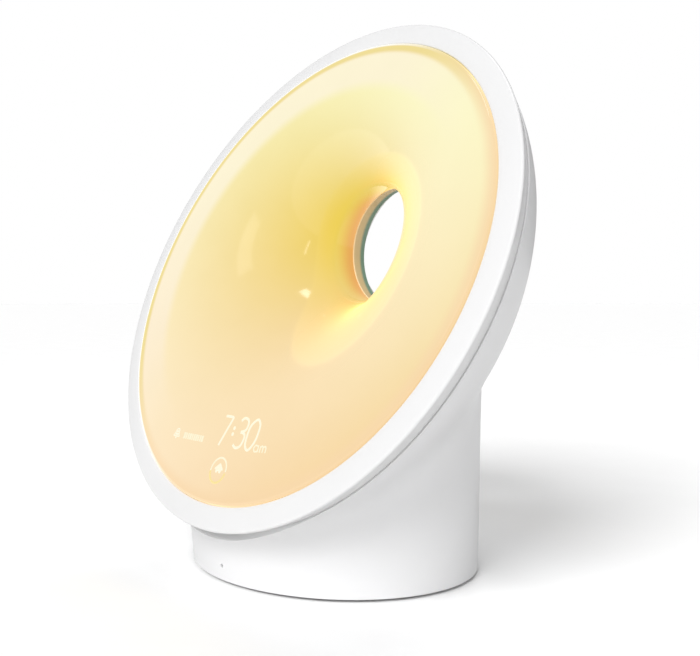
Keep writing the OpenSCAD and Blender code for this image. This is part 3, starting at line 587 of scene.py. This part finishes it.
COLLAR_SKIRT = 1.2  # how far the lining follows the housing's rounding past its own length
SKIRT_GAP, SKIRT_THICK = 0.12, 0.08
COLLAR_OUT_R = 30.2
COLLAR_LIP = 0.5
COLLAR_SECTIONS = 160
skirt = [(HOLE_R + COLLAR_FLARE + FLARE_R - math.sqrt(FLARE_R ** 2 - d ** 2) - SKIRT_GAP,
          -COLLAR_L - d) for d in np.linspace(COLLAR_SKIRT, 0.0, 7)]
collar_profile = (
    skirt
    + [(HOLE_R + 0.6 * COLLAR_FLARE, -0.6 * COLLAR_L), (HOLE_R + 0.1, -0.9)]
    + arc((HOLE_R + 0.6, -COLLAR_LIP), COLLAR_LIP, 180, 90, 4)
    + [(COLLAR_OUT_R, 0), (COLLAR_OUT_R, -COLLAR_L + 0.2)]
    + [(r + SKIRT_THICK, w) for r, w in skirt[::-1]]
)
points, faces = turned(collar_profile, COLLAR_SECTIONS, lambda p: to_world(hole_to_disc(p)))
collar = make("hole_lining", points, faces, collar_finish,
              stands_for=["hole_collar"])
sharpen(collar, 40)

# ---------------------------------------------------------------- the rear housing

# the column: its half width and its reaches forwards and back at the foot, and how they grow
BASE_RX, BASE_FRONT, BASE_BACK = 64.0, 55.5, 53.4
GROWTH, CENTRE_SHIFT = 0.045, 0.05
FLARE_FROM, FLARE_SIZE, FLARE_TALL = 45.0, 292.0, 60
NO_FLARE_FROM, NO_FLARE_OVER = -5, 45  # the flare fades out towards the back, along y
COLUMN_TOP = 140.0
HOUSING_DEEPEST = 53.95

# the blend of bowl and column: soft in front, tight at the back
BLEND_FRONT, BLEND_BACK = 14, 1.5
BLEND_FROM, BLEND_OVER = 5, 30

NET_LOW, NET_HIGH = (-112, -78, -6), (112, 57, 226)
NET_STEP = 1.5
RELAX_ROUNDS = 3
CUT_EXACT = 1e-4

# what counts as close to the lining: so far out from its bore and behind its end, and so far out
# from the hole's own radius for the inside of the wall
NEAR_OUT, NEAR_BEHIND, NEAR_INSIDE = 1.2, 4, 8


def bowl_distance(p):
    q = to_disc(p)
    r2 = q[..., 0] ** 2 + q[..., 1] ** 2
    w2 = (q[..., 2] - BOWL_LEAD) ** 2
    k0 = np.sqrt(r2 / BOWL_A ** 2 + w2 / BOWL_B ** 2)
    k1 = np.sqrt(r2 / BOWL_A ** 4 + w2 / BOWL_B ** 4) + 1e-9
    return k0 * (k0 - 1) / k1


def column_distance(p):
    z = p[..., 2]
    y = p[..., 1] + CENTRE_SHIFT * z
    back = np.clip((p[..., 1] - NO_FLARE_FROM) / NO_FLARE_OVER, 0, 1)
    flare = np.clip(z - FLARE_FROM, 0, FLARE_TALL) ** 2 / FLARE_SIZE
    spread = GROWTH * z + flare * (1 - back) ** 2
    ry = np.where(y > 0, BASE_BACK + CENTRE_SHIFT * z, BASE_FRONT + spread)
    rx = BASE_RX + spread
    k0 = np.sqrt((p[..., 0] / rx) ** 2 + (y / ry) ** 2)
    k1 = np.sqrt((p[..., 0] / rx ** 2) ** 2 + (y / ry ** 2) ** 2) + 1e-9
    return np.maximum(k0 * (k0 - 1) / k1, z - COLUMN_TOP)


def smooth_union(a, b, k):
    h = np.clip(k - np.abs(a - b), 0, None) / k
    return np.minimum(a, b) - h * h * k * 0.25


def body_distance(p):
    back = np.clip((p[..., 1] - BLEND_FROM) / BLEND_OVER, 0, 1)
    k = BLEND_FRONT + (BLEND_BACK - BLEND_FRONT) * back * back * (3 - 2 * back)
    d = smooth_union(bowl_distance(p), column_distance(p), k)
    return np.maximum(d, p[..., 1] - HOUSING_DEEPEST)


def housing_distance(p):
    """Below zero inside the filled housing: bowl and column run together, and the hole is rounded
    out at the back."""
    h = disc_to_hole(to_disc(p))
    tube = HOLE_R + COLLAR_FLARE - np.hypot(h[..., 0], h[..., 1])
    a, b = body_distance(p), tube
    u, v = np.clip(a + FLARE_R, 0, None), np.clip(b + FLARE_R, 0, None)
    return np.minimum(-FLARE_R, np.maximum(a, b)) + np.hypot(u, v)


def gradient(field, p, d=0.05):
    return np.stack([(field(p + e) - field(p - e)) / (2 * d) for e in np.eye(3) * d], -1)


def surface_net(field, low, high, step):
    """The zero level of a field as quads, one point to each grid cell that it crosses."""
    axes = [np.arange(l, h + step, step) for l, h in zip(low, high)]
    grid = np.stack(np.meshgrid(*axes, indexing="ij"), -1)
    f = field(grid)
    n = np.array(f.shape) - 1
    inside = f < 0
    corners = [(i, j, k) for i in (0, 1) for j in (0, 1) for k in (0, 1)]
    within = [inside[i:i + n[0], j:j + n[1], k:k + n[2]] for i, j, k in corners]
    active = np.logical_or.reduce(within) & ~np.logical_and.reduce(within)
    cells = np.argwhere(active)
    index = np.full(active.shape, -1)
    index[tuple(cells.T)] = np.arange(len(cells))

    # a cell's point is the mean of the places where the surface crosses its edges
    total, count = np.zeros((len(cells), 3)), np.zeros(len(cells))
    for c in corners:
        for axis in range(3):
            if c[axis]:
                continue
            other = np.array(c)
            other[axis] = 1
            fa, fb = f[tuple((cells + c).T)], f[tuple((cells + other).T)]
            crossed = (fa < 0) != (fb < 0)
            t = np.where(crossed, fa / np.where(crossed, fa - fb, 1), 0)
            place = (cells + c).astype(float)
            place[:, axis] += t
            total += place * crossed[:, None]
            count += crossed
    points = np.array(low) + step * total / count[:, None]

    # a grid edge that the surface crosses gives a quad between the four cells round it
    quads = []
    for axis in range(3):
        b, c = [(1, 2), (2, 0), (0, 1)][axis]
        first = [slice(1, -1)] * 3
        second = [slice(1, -1)] * 3
        first[axis], second[axis] = slice(0, -1), slice(1, None)
        sa, sb = inside[tuple(first)], inside[tuple(second)]
        for flip in (False, True):
            at = np.argwhere((sa & ~sb) if not flip else (~sa & sb))
            at = at + np.where(np.arange(3) == axis, 0, 1)
            corner = []
            for db, dc in ((-1, -1), (0, -1), (0, 0), (-1, 0)):
                q = at.copy()
                q[:, b] += db
                q[:, c] += dc
                corner.append(index[tuple(q.T)])
            quad = np.stack(corner, -1)
            quads.append(quad[:, ::-1] if flip else quad)
    return points, np.concatenate(quads)


def relax(field, points, quads, rounds):
    """Evens out the net's points, and puts each one back on the surface."""
    edges = np.concatenate([quads[:, [i, (i + 1) % 4]] for i in range(4)])
    for _ in range(rounds):
        total, count = np.zeros_like(points), np.zeros(len(points))
        for a, b in ((0, 1), (1, 0)):
            np.add.at(total, edges[:, a], points[edges[:, b]])
            np.add.at(count, edges[:, a], 1)
        points = points + 0.5 * (total / np.maximum(count, 1)[:, None] - points)
        for _ in range(2):
            g = gradient(field, points)
            points = points - (field(points) / np.maximum((g * g).sum(-1), 1e-6))[:, None] * g
    return points


def housing_shell(step):
    """The outer surface, trimmed at the seam, the foot and the lining, with a wall inside it."""
    points, quads = surface_net(housing_distance, NET_LOW, NET_HIGH, step)
    points = relax(housing_distance, points, quads, RELAX_ROUNDS)
    bm = bmesh.new()
    verts = [bm.verts.new(p) for p in points.tolist()]
    bm.verts.ensure_lookup_table()
    for q in quads.tolist():
        if min(q) >= 0 and len(set(q)) == 4:
            bm.faces.new([verts[i] for i in q])

    def trim(geom, place, normal):
        bmesh.ops.bisect_plane(bm, geom=geom, plane_co=place, plane_no=normal, clear_outer=True,
                               dist=CUT_EXACT)

    seam = DISC_MID - SEAM_BACK * FACE
    trim(bm.verts[:] + bm.edges[:] + bm.faces[:], seam, FACE)
    trim(bm.verts[:] + bm.edges[:] + bm.faces[:], (0, 0, HOUSING_LOW), (0, 0, -1))
    collar_end = to_world(hole_to_disc(np.array([[0, 0, -COLLAR_L]])))[0]
    axis = to_world(HOLE_AXIS[None])[0] - DISC_MID
    near = []
    for face in bm.faces:
        h = disc_to_hole(to_disc(np.array(face.calc_center_median())))
        close = math.hypot(h[0], h[1]) < HOLE_R + COLLAR_FLARE + NEAR_OUT
        if close and h[2] > -COLLAR_L - NEAR_BEHIND:
            near.append(face)
    near_edges = dict.fromkeys(e for f in near for e in f.edges)
    near_verts = dict.fromkeys(v for f in near for v in f.verts)
    trim([*near_verts, *near_edges, *near], collar_end, axis)
    bmesh.ops.delete(bm, geom=[v for v in bm.verts if not v.link_faces], context="VERTS")
    bm.verts.index_update()
    outer = np.array([v.co for v in bm.verts])
    shell_faces = [[v.index for v in f.verts] for f in bm.faces]
    rim = [(l.vert.index, l.link_loop_next.vert.index)
           for e in bm.edges if len(e.link_faces) == 1 for l in e.link_loops]
    bm.free()

    # the inner surface, kept behind the seam, above the foot and behind the lining's end
    g = gradient(housing_distance, outer)
    inner = outer - WALL * g / np.linalg.norm(g, axis=1, keepdims=True)
    over = np.clip((inner - seam) @ FACE, 0, None)
    inner -= over[:, None] * FACE
    inner[:, 2] = np.maximum(inner[:, 2], HOUSING_LOW)
    h = disc_to_hole(to_disc(inner))
    by_hole = np.hypot(h[:, 0], h[:, 1]) < HOLE_R + NEAR_INSIDE
    ahead = np.where(by_hole, np.clip(h[:, 2] + COLLAR_L, 0, None), 0)
    inner -= ahead[:, None] * axis

    n = len(outer)
    faces = shell_faces + [[i + n for i in f[::-1]] for f in shell_faces]
    faces += [[b, a, a + n, b + n] for a, b in rim]
    return np.concatenate([outer, inner]), faces


def rod(start, direction, length, radius, sides):
    """A closed round cutter."""
    direction = np.asarray(direction, float)
    u = np.cross(direction, [0.3, 0.2, 1.0])
    u /= np.linalg.norm(u)
    v = np.cross(direction, u)
    a = round_angles(sides)
    circle = radius * (np.cos(a)[:, None] * u + np.sin(a)[:, None] * v)
    points = np.concatenate([start + circle, start + direction * length + circle])
    faces = [list(range(sides))[::-1], list(range(sides, 2 * sides))]
    faces += [[i, (i + 1) % sides, sides + (i + 1) % sides, sides + i] for i in range(sides)]
    return points, faces


# the push buttons' places on the bowl, and their bores
BUTTON_BACK, BUTTON_X = 20.0, 20.0
BUTTON_BORE_R, BUTTON_BORE_IN, BUTTON_BORE_L = 6.1, 6, 14
BUTTON_ROUND = BOWL_A * math.sqrt(1 - ((BUTTON_BACK + BOWL_LEAD) / BOWL_B) ** 2)
BUTTON_LEAN = math.atan((BOWL_A / BOWL_B) ** 2 * (BUTTON_BACK + BOWL_LEAD) / BUTTON_ROUND)
BUTTON_UP = math.sqrt(BUTTON_ROUND ** 2 - BUTTON_X ** 2)

# the grille and the sockets in the back, and the sensor's hole in front
BACKWARDS = np.array([0.0, 1.0, 0.0])
SPEAKER_Z, GRILLE_PITCH, GRILLE_RINGS, GRILLE_HOLE = 52.0, 5.5, 3, 1.1
GRILLE_FROM, GRILLE_CUT = 46.0, 20
PORT_X, INLET_Z, AUDIO_Z, USB_Z, USB_W, USB_H = 22.0, 17.1, 15.1, 12.4, 12.5, 5.2
SOCKET_CUT, INLET_FROM, INLET_R, AUDIO_FROM, AUDIO_R = 30, 40, 4.8, 42, 3.4
USB_FROM, USB_TO, USB_GAP = 40, 70, 0.4
SENSOR_AT, SENSOR_CUT, SENSOR_R = (0, -52, 6.8), 12, 0.8


def button_axes(side):
    """The middle of a button on the housing's surface, and the way out of it."""
    mid = to_world(np.array([[side * BUTTON_X, BUTTON_UP, -BUTTON_BACK]]))[0]
    out = math.cos(BUTTON_LEAN) * UP - math.sin(BUTTON_LEAN) * FACE
    return mid, out


def housing_cutters():
    shapes = []
    for k in range(GRILLE_RINGS + 1):
        holes = max(1, 6 * k)
        for i in range(holes):
            a = 2 * math.pi * i / holes
            x, z = GRILLE_PITCH * k * math.cos(a), SPEAKER_Z - GRILLE_PITCH * k * math.sin(a)
            start = np.array([x, GRILLE_FROM, z])
            shapes.append(rod(start, BACKWARDS, GRILLE_CUT, GRILLE_HOLE, 20))
    inlet, audio = np.array([-PORT_X, INLET_FROM, INLET_Z]), np.array([0, AUDIO_FROM, AUDIO_Z])
    shapes.append(rod(inlet, BACKWARDS, SOCKET_CUT, INLET_R, 48))
    shapes.append(rod(audio, BACKWARDS, SOCKET_CUT, AUDIO_R, 40))
    shapes.append(rod(np.array(SENSOR_AT), -BACKWARDS, SENSOR_CUT, SENSOR_R, 20))
    for side in (-1, 1):
        mid, out = button_axes(side)
        shapes.append(rod(mid - BUTTON_BORE_IN * out, out, BUTTON_BORE_L, BUTTON_BORE_R, 72))
    w, h = USB_W / 2 + USB_GAP, USB_H / 2 + USB_GAP
    box = np.array([[x, y, z] for x in (-w, w) for y in (USB_FROM, USB_TO) for z in (-h, h)])
    box_faces = [[0, 1, 3, 2], [4, 6, 7, 5], [0, 4, 5, 1], [2, 3, 7, 6], [0, 2, 6, 4], [1, 5, 7, 3]]
    shapes.append((box + [PORT_X, 0, USB_Z + USB_H / 2], box_faces))
    points, faces = [], []
    for p, f in shapes:
        start = sum(len(q) for q in points)
        points.append(p)
        faces += [[i + start for i in one] for one in f]
    return np.concatenate(points), faces


def cut(piece, points, faces):
    """Takes closed shapes away from a piece, and leaves no modifier on it."""
    mesh = bpy.data.meshes.new("cutters")
    mesh.from_pydata((points * MM).tolist(), [], faces)
    cutters = bpy.data.objects.new("cutters", mesh)
    bpy.context.scene.collection.objects.link(cutters)
    boolean = piece.modifiers.new("cut", "BOOLEAN")
    boolean.operation, boolean.solver, boolean.object = "DIFFERENCE", "EXACT", cutters
    bpy.context.view_layer.update()
    evaluated = piece.evaluated_get(bpy.context.evaluated_depsgraph_get())
    done = bpy.data.meshes.new_from_object(evaluated)
    piece.modifiers.clear()
    old, piece.data = piece.data, done
    done.name = piece.name
    bpy.data.objects.remove(cutters)
    bpy.data.meshes.remove(mesh)
    bpy.data.meshes.remove(old)


points, faces = housing_shell(NET_STEP)
housing = make("rear_shell", points, faces, white_shell,
               stands_for=["rear_housing"])
cut(housing, *housing_cutters())
housing.data.shade_smooth()
sharpen(housing, 32)

# ---------------------------------------------------------------- the marks that shine through

SIGHT_ACROSS, SIGHT_ALONG = 1.5, -0.17  # how a mark shifts for each millimetre out of the face
MARK_PROUD, MARK_THICK = 0.06, 0.12


def on_glow(plan):
    """Carries marks drawn on the face's plane along the line of sight onto the glowing surface."""
    plan = np.asarray(plan, float)
    w = np.zeros(len(plan))
    for _ in range(10):
        p, n = glow_at(plan[:, 0] + SIGHT_ACROSS * w, plan[:, 1] + SIGHT_ALONG * w)
        w = p[:, 2]
    return p, n


def stroke(line, width, closed):
    """A pen stroke of constant width along a smooth line, as its left and right edges."""
    line = np.asarray(line, float)
    if closed:
        ahead, behind = np.roll(line, -1, 0), np.roll(line, 1, 0)
    else:
        ahead, behind = np.vstack([line[1:], line[-1:]]), np.vstack([line[:1], line[:-1]])
    d = ahead - behind
    d /= np.linalg.norm(d, axis=1, keepdims=True)
    side = np.stack([-d[:, 1], d[:, 0]], -1) * width / 2
    return line + side, line - side


def strip_piece(name, strokes, material):
    """Thin closed strips lying on the glowing surface, each from a line, a width and whether the
    line is closed."""
    points, faces = [], []
    for line, width, closed in strokes:
        left, right = stroke(line, width, closed)
        n = len(left)
        start = sum(len(p) for p in points)
        p, normal = on_glow(np.concatenate([left, right]))
        points += [p + MARK_PROUD * normal, p - MARK_THICK * normal]
        strip = []
        for i in range(n if closed else n - 1):
            j = (i + 1) % n
            a, b, c, d = i, j, n + j, n + i
            strip += [[a, d, c, b], [2 * n + a, 2 * n + b, 2 * n + c, 2 * n + d],
                      [a, b, 2 * n + b, 2 * n + a], [d, 2 * n + d, 2 * n + c, c]]
        if not closed:
            strip += [[0, 2 * n, 3 * n, n], [2 * n - 1, 4 * n - 1, 3 * n - 1, n - 1]]
        faces += [[start + q for q in f] for f in strip]
    return make(name, to_world(np.concatenate(points)), faces, material)


def curve(corners, steps, closed=False):
    """A smooth line through corners."""
    p = np.asarray(corners, float)
    n = len(p)
    out = []
    for i in range(n if closed else n - 1):
        a, b, c, d = (p[(i + k) % n] if closed else p[min(max(i + k, 0), n - 1)]
                      for k in (-1, 0, 1, 2))
        for t in np.arange(steps) / steps:
            out.append(b + t * (c - a) / 2 + t * t * (2 * a - 5 * b + 4 * c - d) / 2
                       + t ** 3 * (3 * b - a - 3 * c + d) / 2)
    if not closed:
        out.append(p[-1])
    return np.array(out)


def straight(a, b):
    t = np.linspace(0, 1, 8)[:, None]
    return np.asarray(a) * (1 - t) + np.asarray(b) * t


def round_dot(centre, radius):
    """A filled dot as a short closed stroke round its middle."""
    a = np.linspace(0, 2 * math.pi, 17)[:-1]
    circle = np.asarray(centre) + 0.5 * radius * np.stack([np.cos(a), np.sin(a)], -1)
    return circle, radius, True


PEN, SMALL_PEN, MARK_PEN = 1.02, 0.6, 0.5
seven = [(-6.3, -66.0), (-3.8, -66.0), (-1.5, -66.15), (-1.55, -67.3), (-3.0, -71.5), (-5.1, -77.8)]
three_high = [(4.5, -67.0), (6.1, -65.7), (8.5, -66.1), (9.5, -67.9), (8.9, -70.2), (6.2, -71.3)]
three_low = [(6.2, -71.3), (8.6, -71.7), (9.5, -73.4), (8.6, -76.5), (6.1, -77.5), (3.9, -76.5)]
nought = [(14.4, -65.5), (16.6, -67.2), (17.0, -70.5), (16.4, -74.2), (14.1, -77.4), (11.7, -76.2),
          (10.9, -72.9), (11.3, -68.4)]
digits = [(curve(line, 8), PEN, False) for line in (seven, three_high, three_low)]
digits += [(curve(nought, 8, closed=True), PEN, True)]
digits += [round_dot((1.5, -70.2), 0.75), round_dot((1.6, -72.6), 0.75)]
strip_piece("clock_digits", digits, lit_white)

letter_a = [(19.4, -75.2), (17.9, -75.1), (17.3, -76.3), (18.1, -77.4), (19.5, -77.2)]
letter_m = [[(21.1, -75.6), (21.9, -74.9), (22.6, -75.5), (22.8, -77.3)],
            [(22.7, -75.6), (23.5, -74.8), (24.3, -75.4), (24.5, -77.2)]]
letter_lines = [curve(letter_a, 6), straight((19.7, -74.9), (19.9, -77.5)),
                straight((21.0, -75.0), (21.2, -77.4)), *(curve(arch, 6) for arch in letter_m)]
strip_piece("half_day_letters", [(line, SMALL_PEN, False) for line in letter_lines], lit_dim)

bell = [(-38.0, -77.4), (-37.3, -76.4), (-36.8, -74.9), (-35.9, -74.4), (-34.9, -74.9),
        (-34.5, -76.4), (-33.8, -77.6)]
alarm_mark = [
    (curve(bell, 6), MARK_PEN, False),
    (straight((-38.0, -77.5), (-33.8, -77.6)), MARK_PEN, False),
    (straight((-37.0, -76.6), (-34.8, -76.7)), 0.9, False),
    (straight((-36.6, -75.5), (-35.2, -75.6)), 0.8, False),
    round_dot((-35.9, -78.2), 0.4),
]
strip_piece("alarm_mark", alarm_mark, lit_white)

# a row of plain bars stands where small writing would be
BAR_WIDTHS = (1.25, 0.9, 0.9)
bars = [(straight((x, -75.4), (x + 0.25, -77.9)), BAR_WIDTHS[i % 3], False)
        for i, x in enumerate(np.linspace(-30.2, -17.2, 10))]
strip_piece("plain_bars", bars, lit_dim)

# the touch mark: a ring that is pale above and yellow below, round a plain lamp-like figure
turn = np.linspace(0, 2 * math.pi, 49)
circle = np.stack([0.4 + 4.75 * np.cos(turn), -87.0 + 4.85 * np.sin(turn)], -1)
upper = (turn > RAD(-12)) & (turn < RAD(192))
lower = (turn >= RAD(186)) & (turn <= RAD(354))
strip_piece("touch_ring_high", [(circle[upper], 0.72, False)], lit_dim)
strip_piece("touch_ring_low", [(circle[lower], 0.9, False)], lit_yellow)
lamp_lines = [
    ((0.5, -84.5), (3.0, -86.7), 0.7), ((0.5, -84.5), (-2.0, -86.7), 0.7),
    ((-1.3, -86.6), (2.3, -86.6), 1.6), ((-0.4, -85.6), (1.4, -85.6), 1.0),
    ((-1.1, -87.4), (-0.1, -87.4), 1.2), ((1.0, -87.4), (2.1, -87.4), 1.2),
]
strip_piece("lamp_mark", [(straight(a, b), width, False) for a, b, width in lamp_lines], lit_white)

# ---------------------------------------------------------------- the stage

BOUNCE = (0.87, 0.87, 0.87)  # the floor's colour as a source of bounce light
SKY_DIM = 0.34               # the surroundings' strength as a source of light
REACH = 30.0

stage_white = surface("stage_white", (0.97, 0.97, 0.97), (0.985, 0.985, 0.985), 0.8, 40.0,
                      bump=0.0)
stage_tree = stage_white.node_tree
stage_shader = stage_tree.nodes["Principled BSDF"]
stage_shader.inputs["Specular IOR Level"].default_value = 0.0
stage_colour = stage_shader.inputs["Base Color"].links[0].from_socket
direct = stage_tree.nodes.new("ShaderNodeLightPath").outputs["Is Camera Ray"]
stage_tree.links.new(mixed(stage_tree, direct, BOUNCE, stage_colour),
                     stage_shader.inputs["Base Color"])
floor_mesh = bpy.data.meshes.new("floor")
floor_mesh.from_pydata([(-REACH, -REACH, 0), (REACH, -REACH, 0), (REACH, REACH, 0),
                        (-REACH, REACH, 0)], [], [(0, 1, 2, 3)])
floor = bpy.data.objects.new("floor", floor_mesh)
bpy.context.scene.collection.objects.link(floor)
floor_mesh.materials.append(stage_white)

world = bpy.data.worlds.new("studio")
bpy.context.scene.world = world
world.use_nodes = True
sky = world.node_tree
backdrop = sky.nodes["Background"]
dimmed = sky.nodes.new("ShaderNodeBackground")
for background, strength in ((backdrop, 1.0), (dimmed, SKY_DIM)):
    background.inputs["Color"].default_value = (1, 1, 1, 1)
    background.inputs["Strength"].default_value = strength
seen = sky.nodes.new("ShaderNodeMixShader")
sky.links.new(sky.nodes.new("ShaderNodeLightPath").outputs["Is Camera Ray"], seen.inputs["Fac"])
sky.links.new(dimmed.outputs["Background"], seen.inputs[1])
sky.links.new(backdrop.outputs["Background"], seen.inputs[2])
sky.links.new(seen.outputs["Shader"], sky.nodes["World Output"].inputs["Surface"])

# ---------------------------------------------------------------- lights and camera

LIGHTS_AIM = Vector((0.0, 0.0, 0.13))
LIGHTS_AWAY = 1.1


def from_side(azimuth, elevation, distance):
    """A place seen from the origin: azimuth from the front towards the right, in degrees."""
    a, e = RAD(azimuth), RAD(elevation)
    return Vector((math.sin(a) * math.cos(e), -math.cos(a) * math.cos(e), math.sin(e))) * distance


def add_lamp(name, kind, towards):
    lamp = bpy.data.lights.new(name, kind)
    lamp_object = bpy.data.objects.new(name, lamp)
    bpy.context.scene.collection.objects.link(lamp_object)
    lamp_object.rotation_euler = towards.to_track_quat("-Z", "Y").to_euler()
    return lamp, lamp_object


def sun_light(name, azimuth, elevation, width, strength):
    """A far, soft light, with its width in degrees as seen from the clock."""
    lamp, lamp_object = add_lamp(name, "SUN", -from_side(azimuth, elevation, 1))
    lamp.angle, lamp.energy = RAD(width), strength
    lamp_object.visible_glossy = False


def area_light(name, azimuth, elevation, width, height, power):
    """A near, rectangular light that looks at the diffuser's throat."""
    place = from_side(azimuth, elevation, LIGHTS_AWAY) + LIGHTS_AIM
    lamp, lamp_object = add_lamp(name, "AREA", LIGHTS_AIM - place)
    lamp.shape, lamp.size, lamp.size_y, lamp.energy = "RECTANGLE", width, height, power
    lamp_object.location = place
    lamp_object.visible_camera = False


sun_light("key", 18.5, 39.5, 28, 2.38)
sun_light("fill", -151, 49, 24, 0.66)
sun_light("low", 51, 6, 22, 0.95)
area_light("strip_right", 64, 22, 0.04, 0.40, 0.25)
area_light("strip_top", -129, 87, 0.11, 0.36, 0.85)
area_light("window", -3, 36, 0.20, 0.42, 0.34)

EYE = Vector((0.2945, -0.25126, 0.10734))
LOOK_AT = Vector((0.00435, 0.00493, 0.09595))
FOCAL_PIXELS, FRAME_WIDTH, SENSOR = 929.068, 700.0, 36.0
camera_data = bpy.data.cameras.new("camera")
camera_data.sensor_fit, camera_data.sensor_width = "HORIZONTAL", SENSOR
camera_data.lens = FOCAL_PIXELS / FRAME_WIDTH * SENSOR
camera_data.clip_start, camera_data.clip_end = 0.01, 100
camera = bpy.data.objects.new("camera", camera_data)
bpy.context.scene.collection.objects.link(camera)
camera.location = EYE
camera.rotation_euler = (LOOK_AT - EYE).to_track_quat("-Z", "Y").to_euler()
bpy.context.scene.camera = camera
bpy.context.scene.view_settings.view_transform = "Standard"
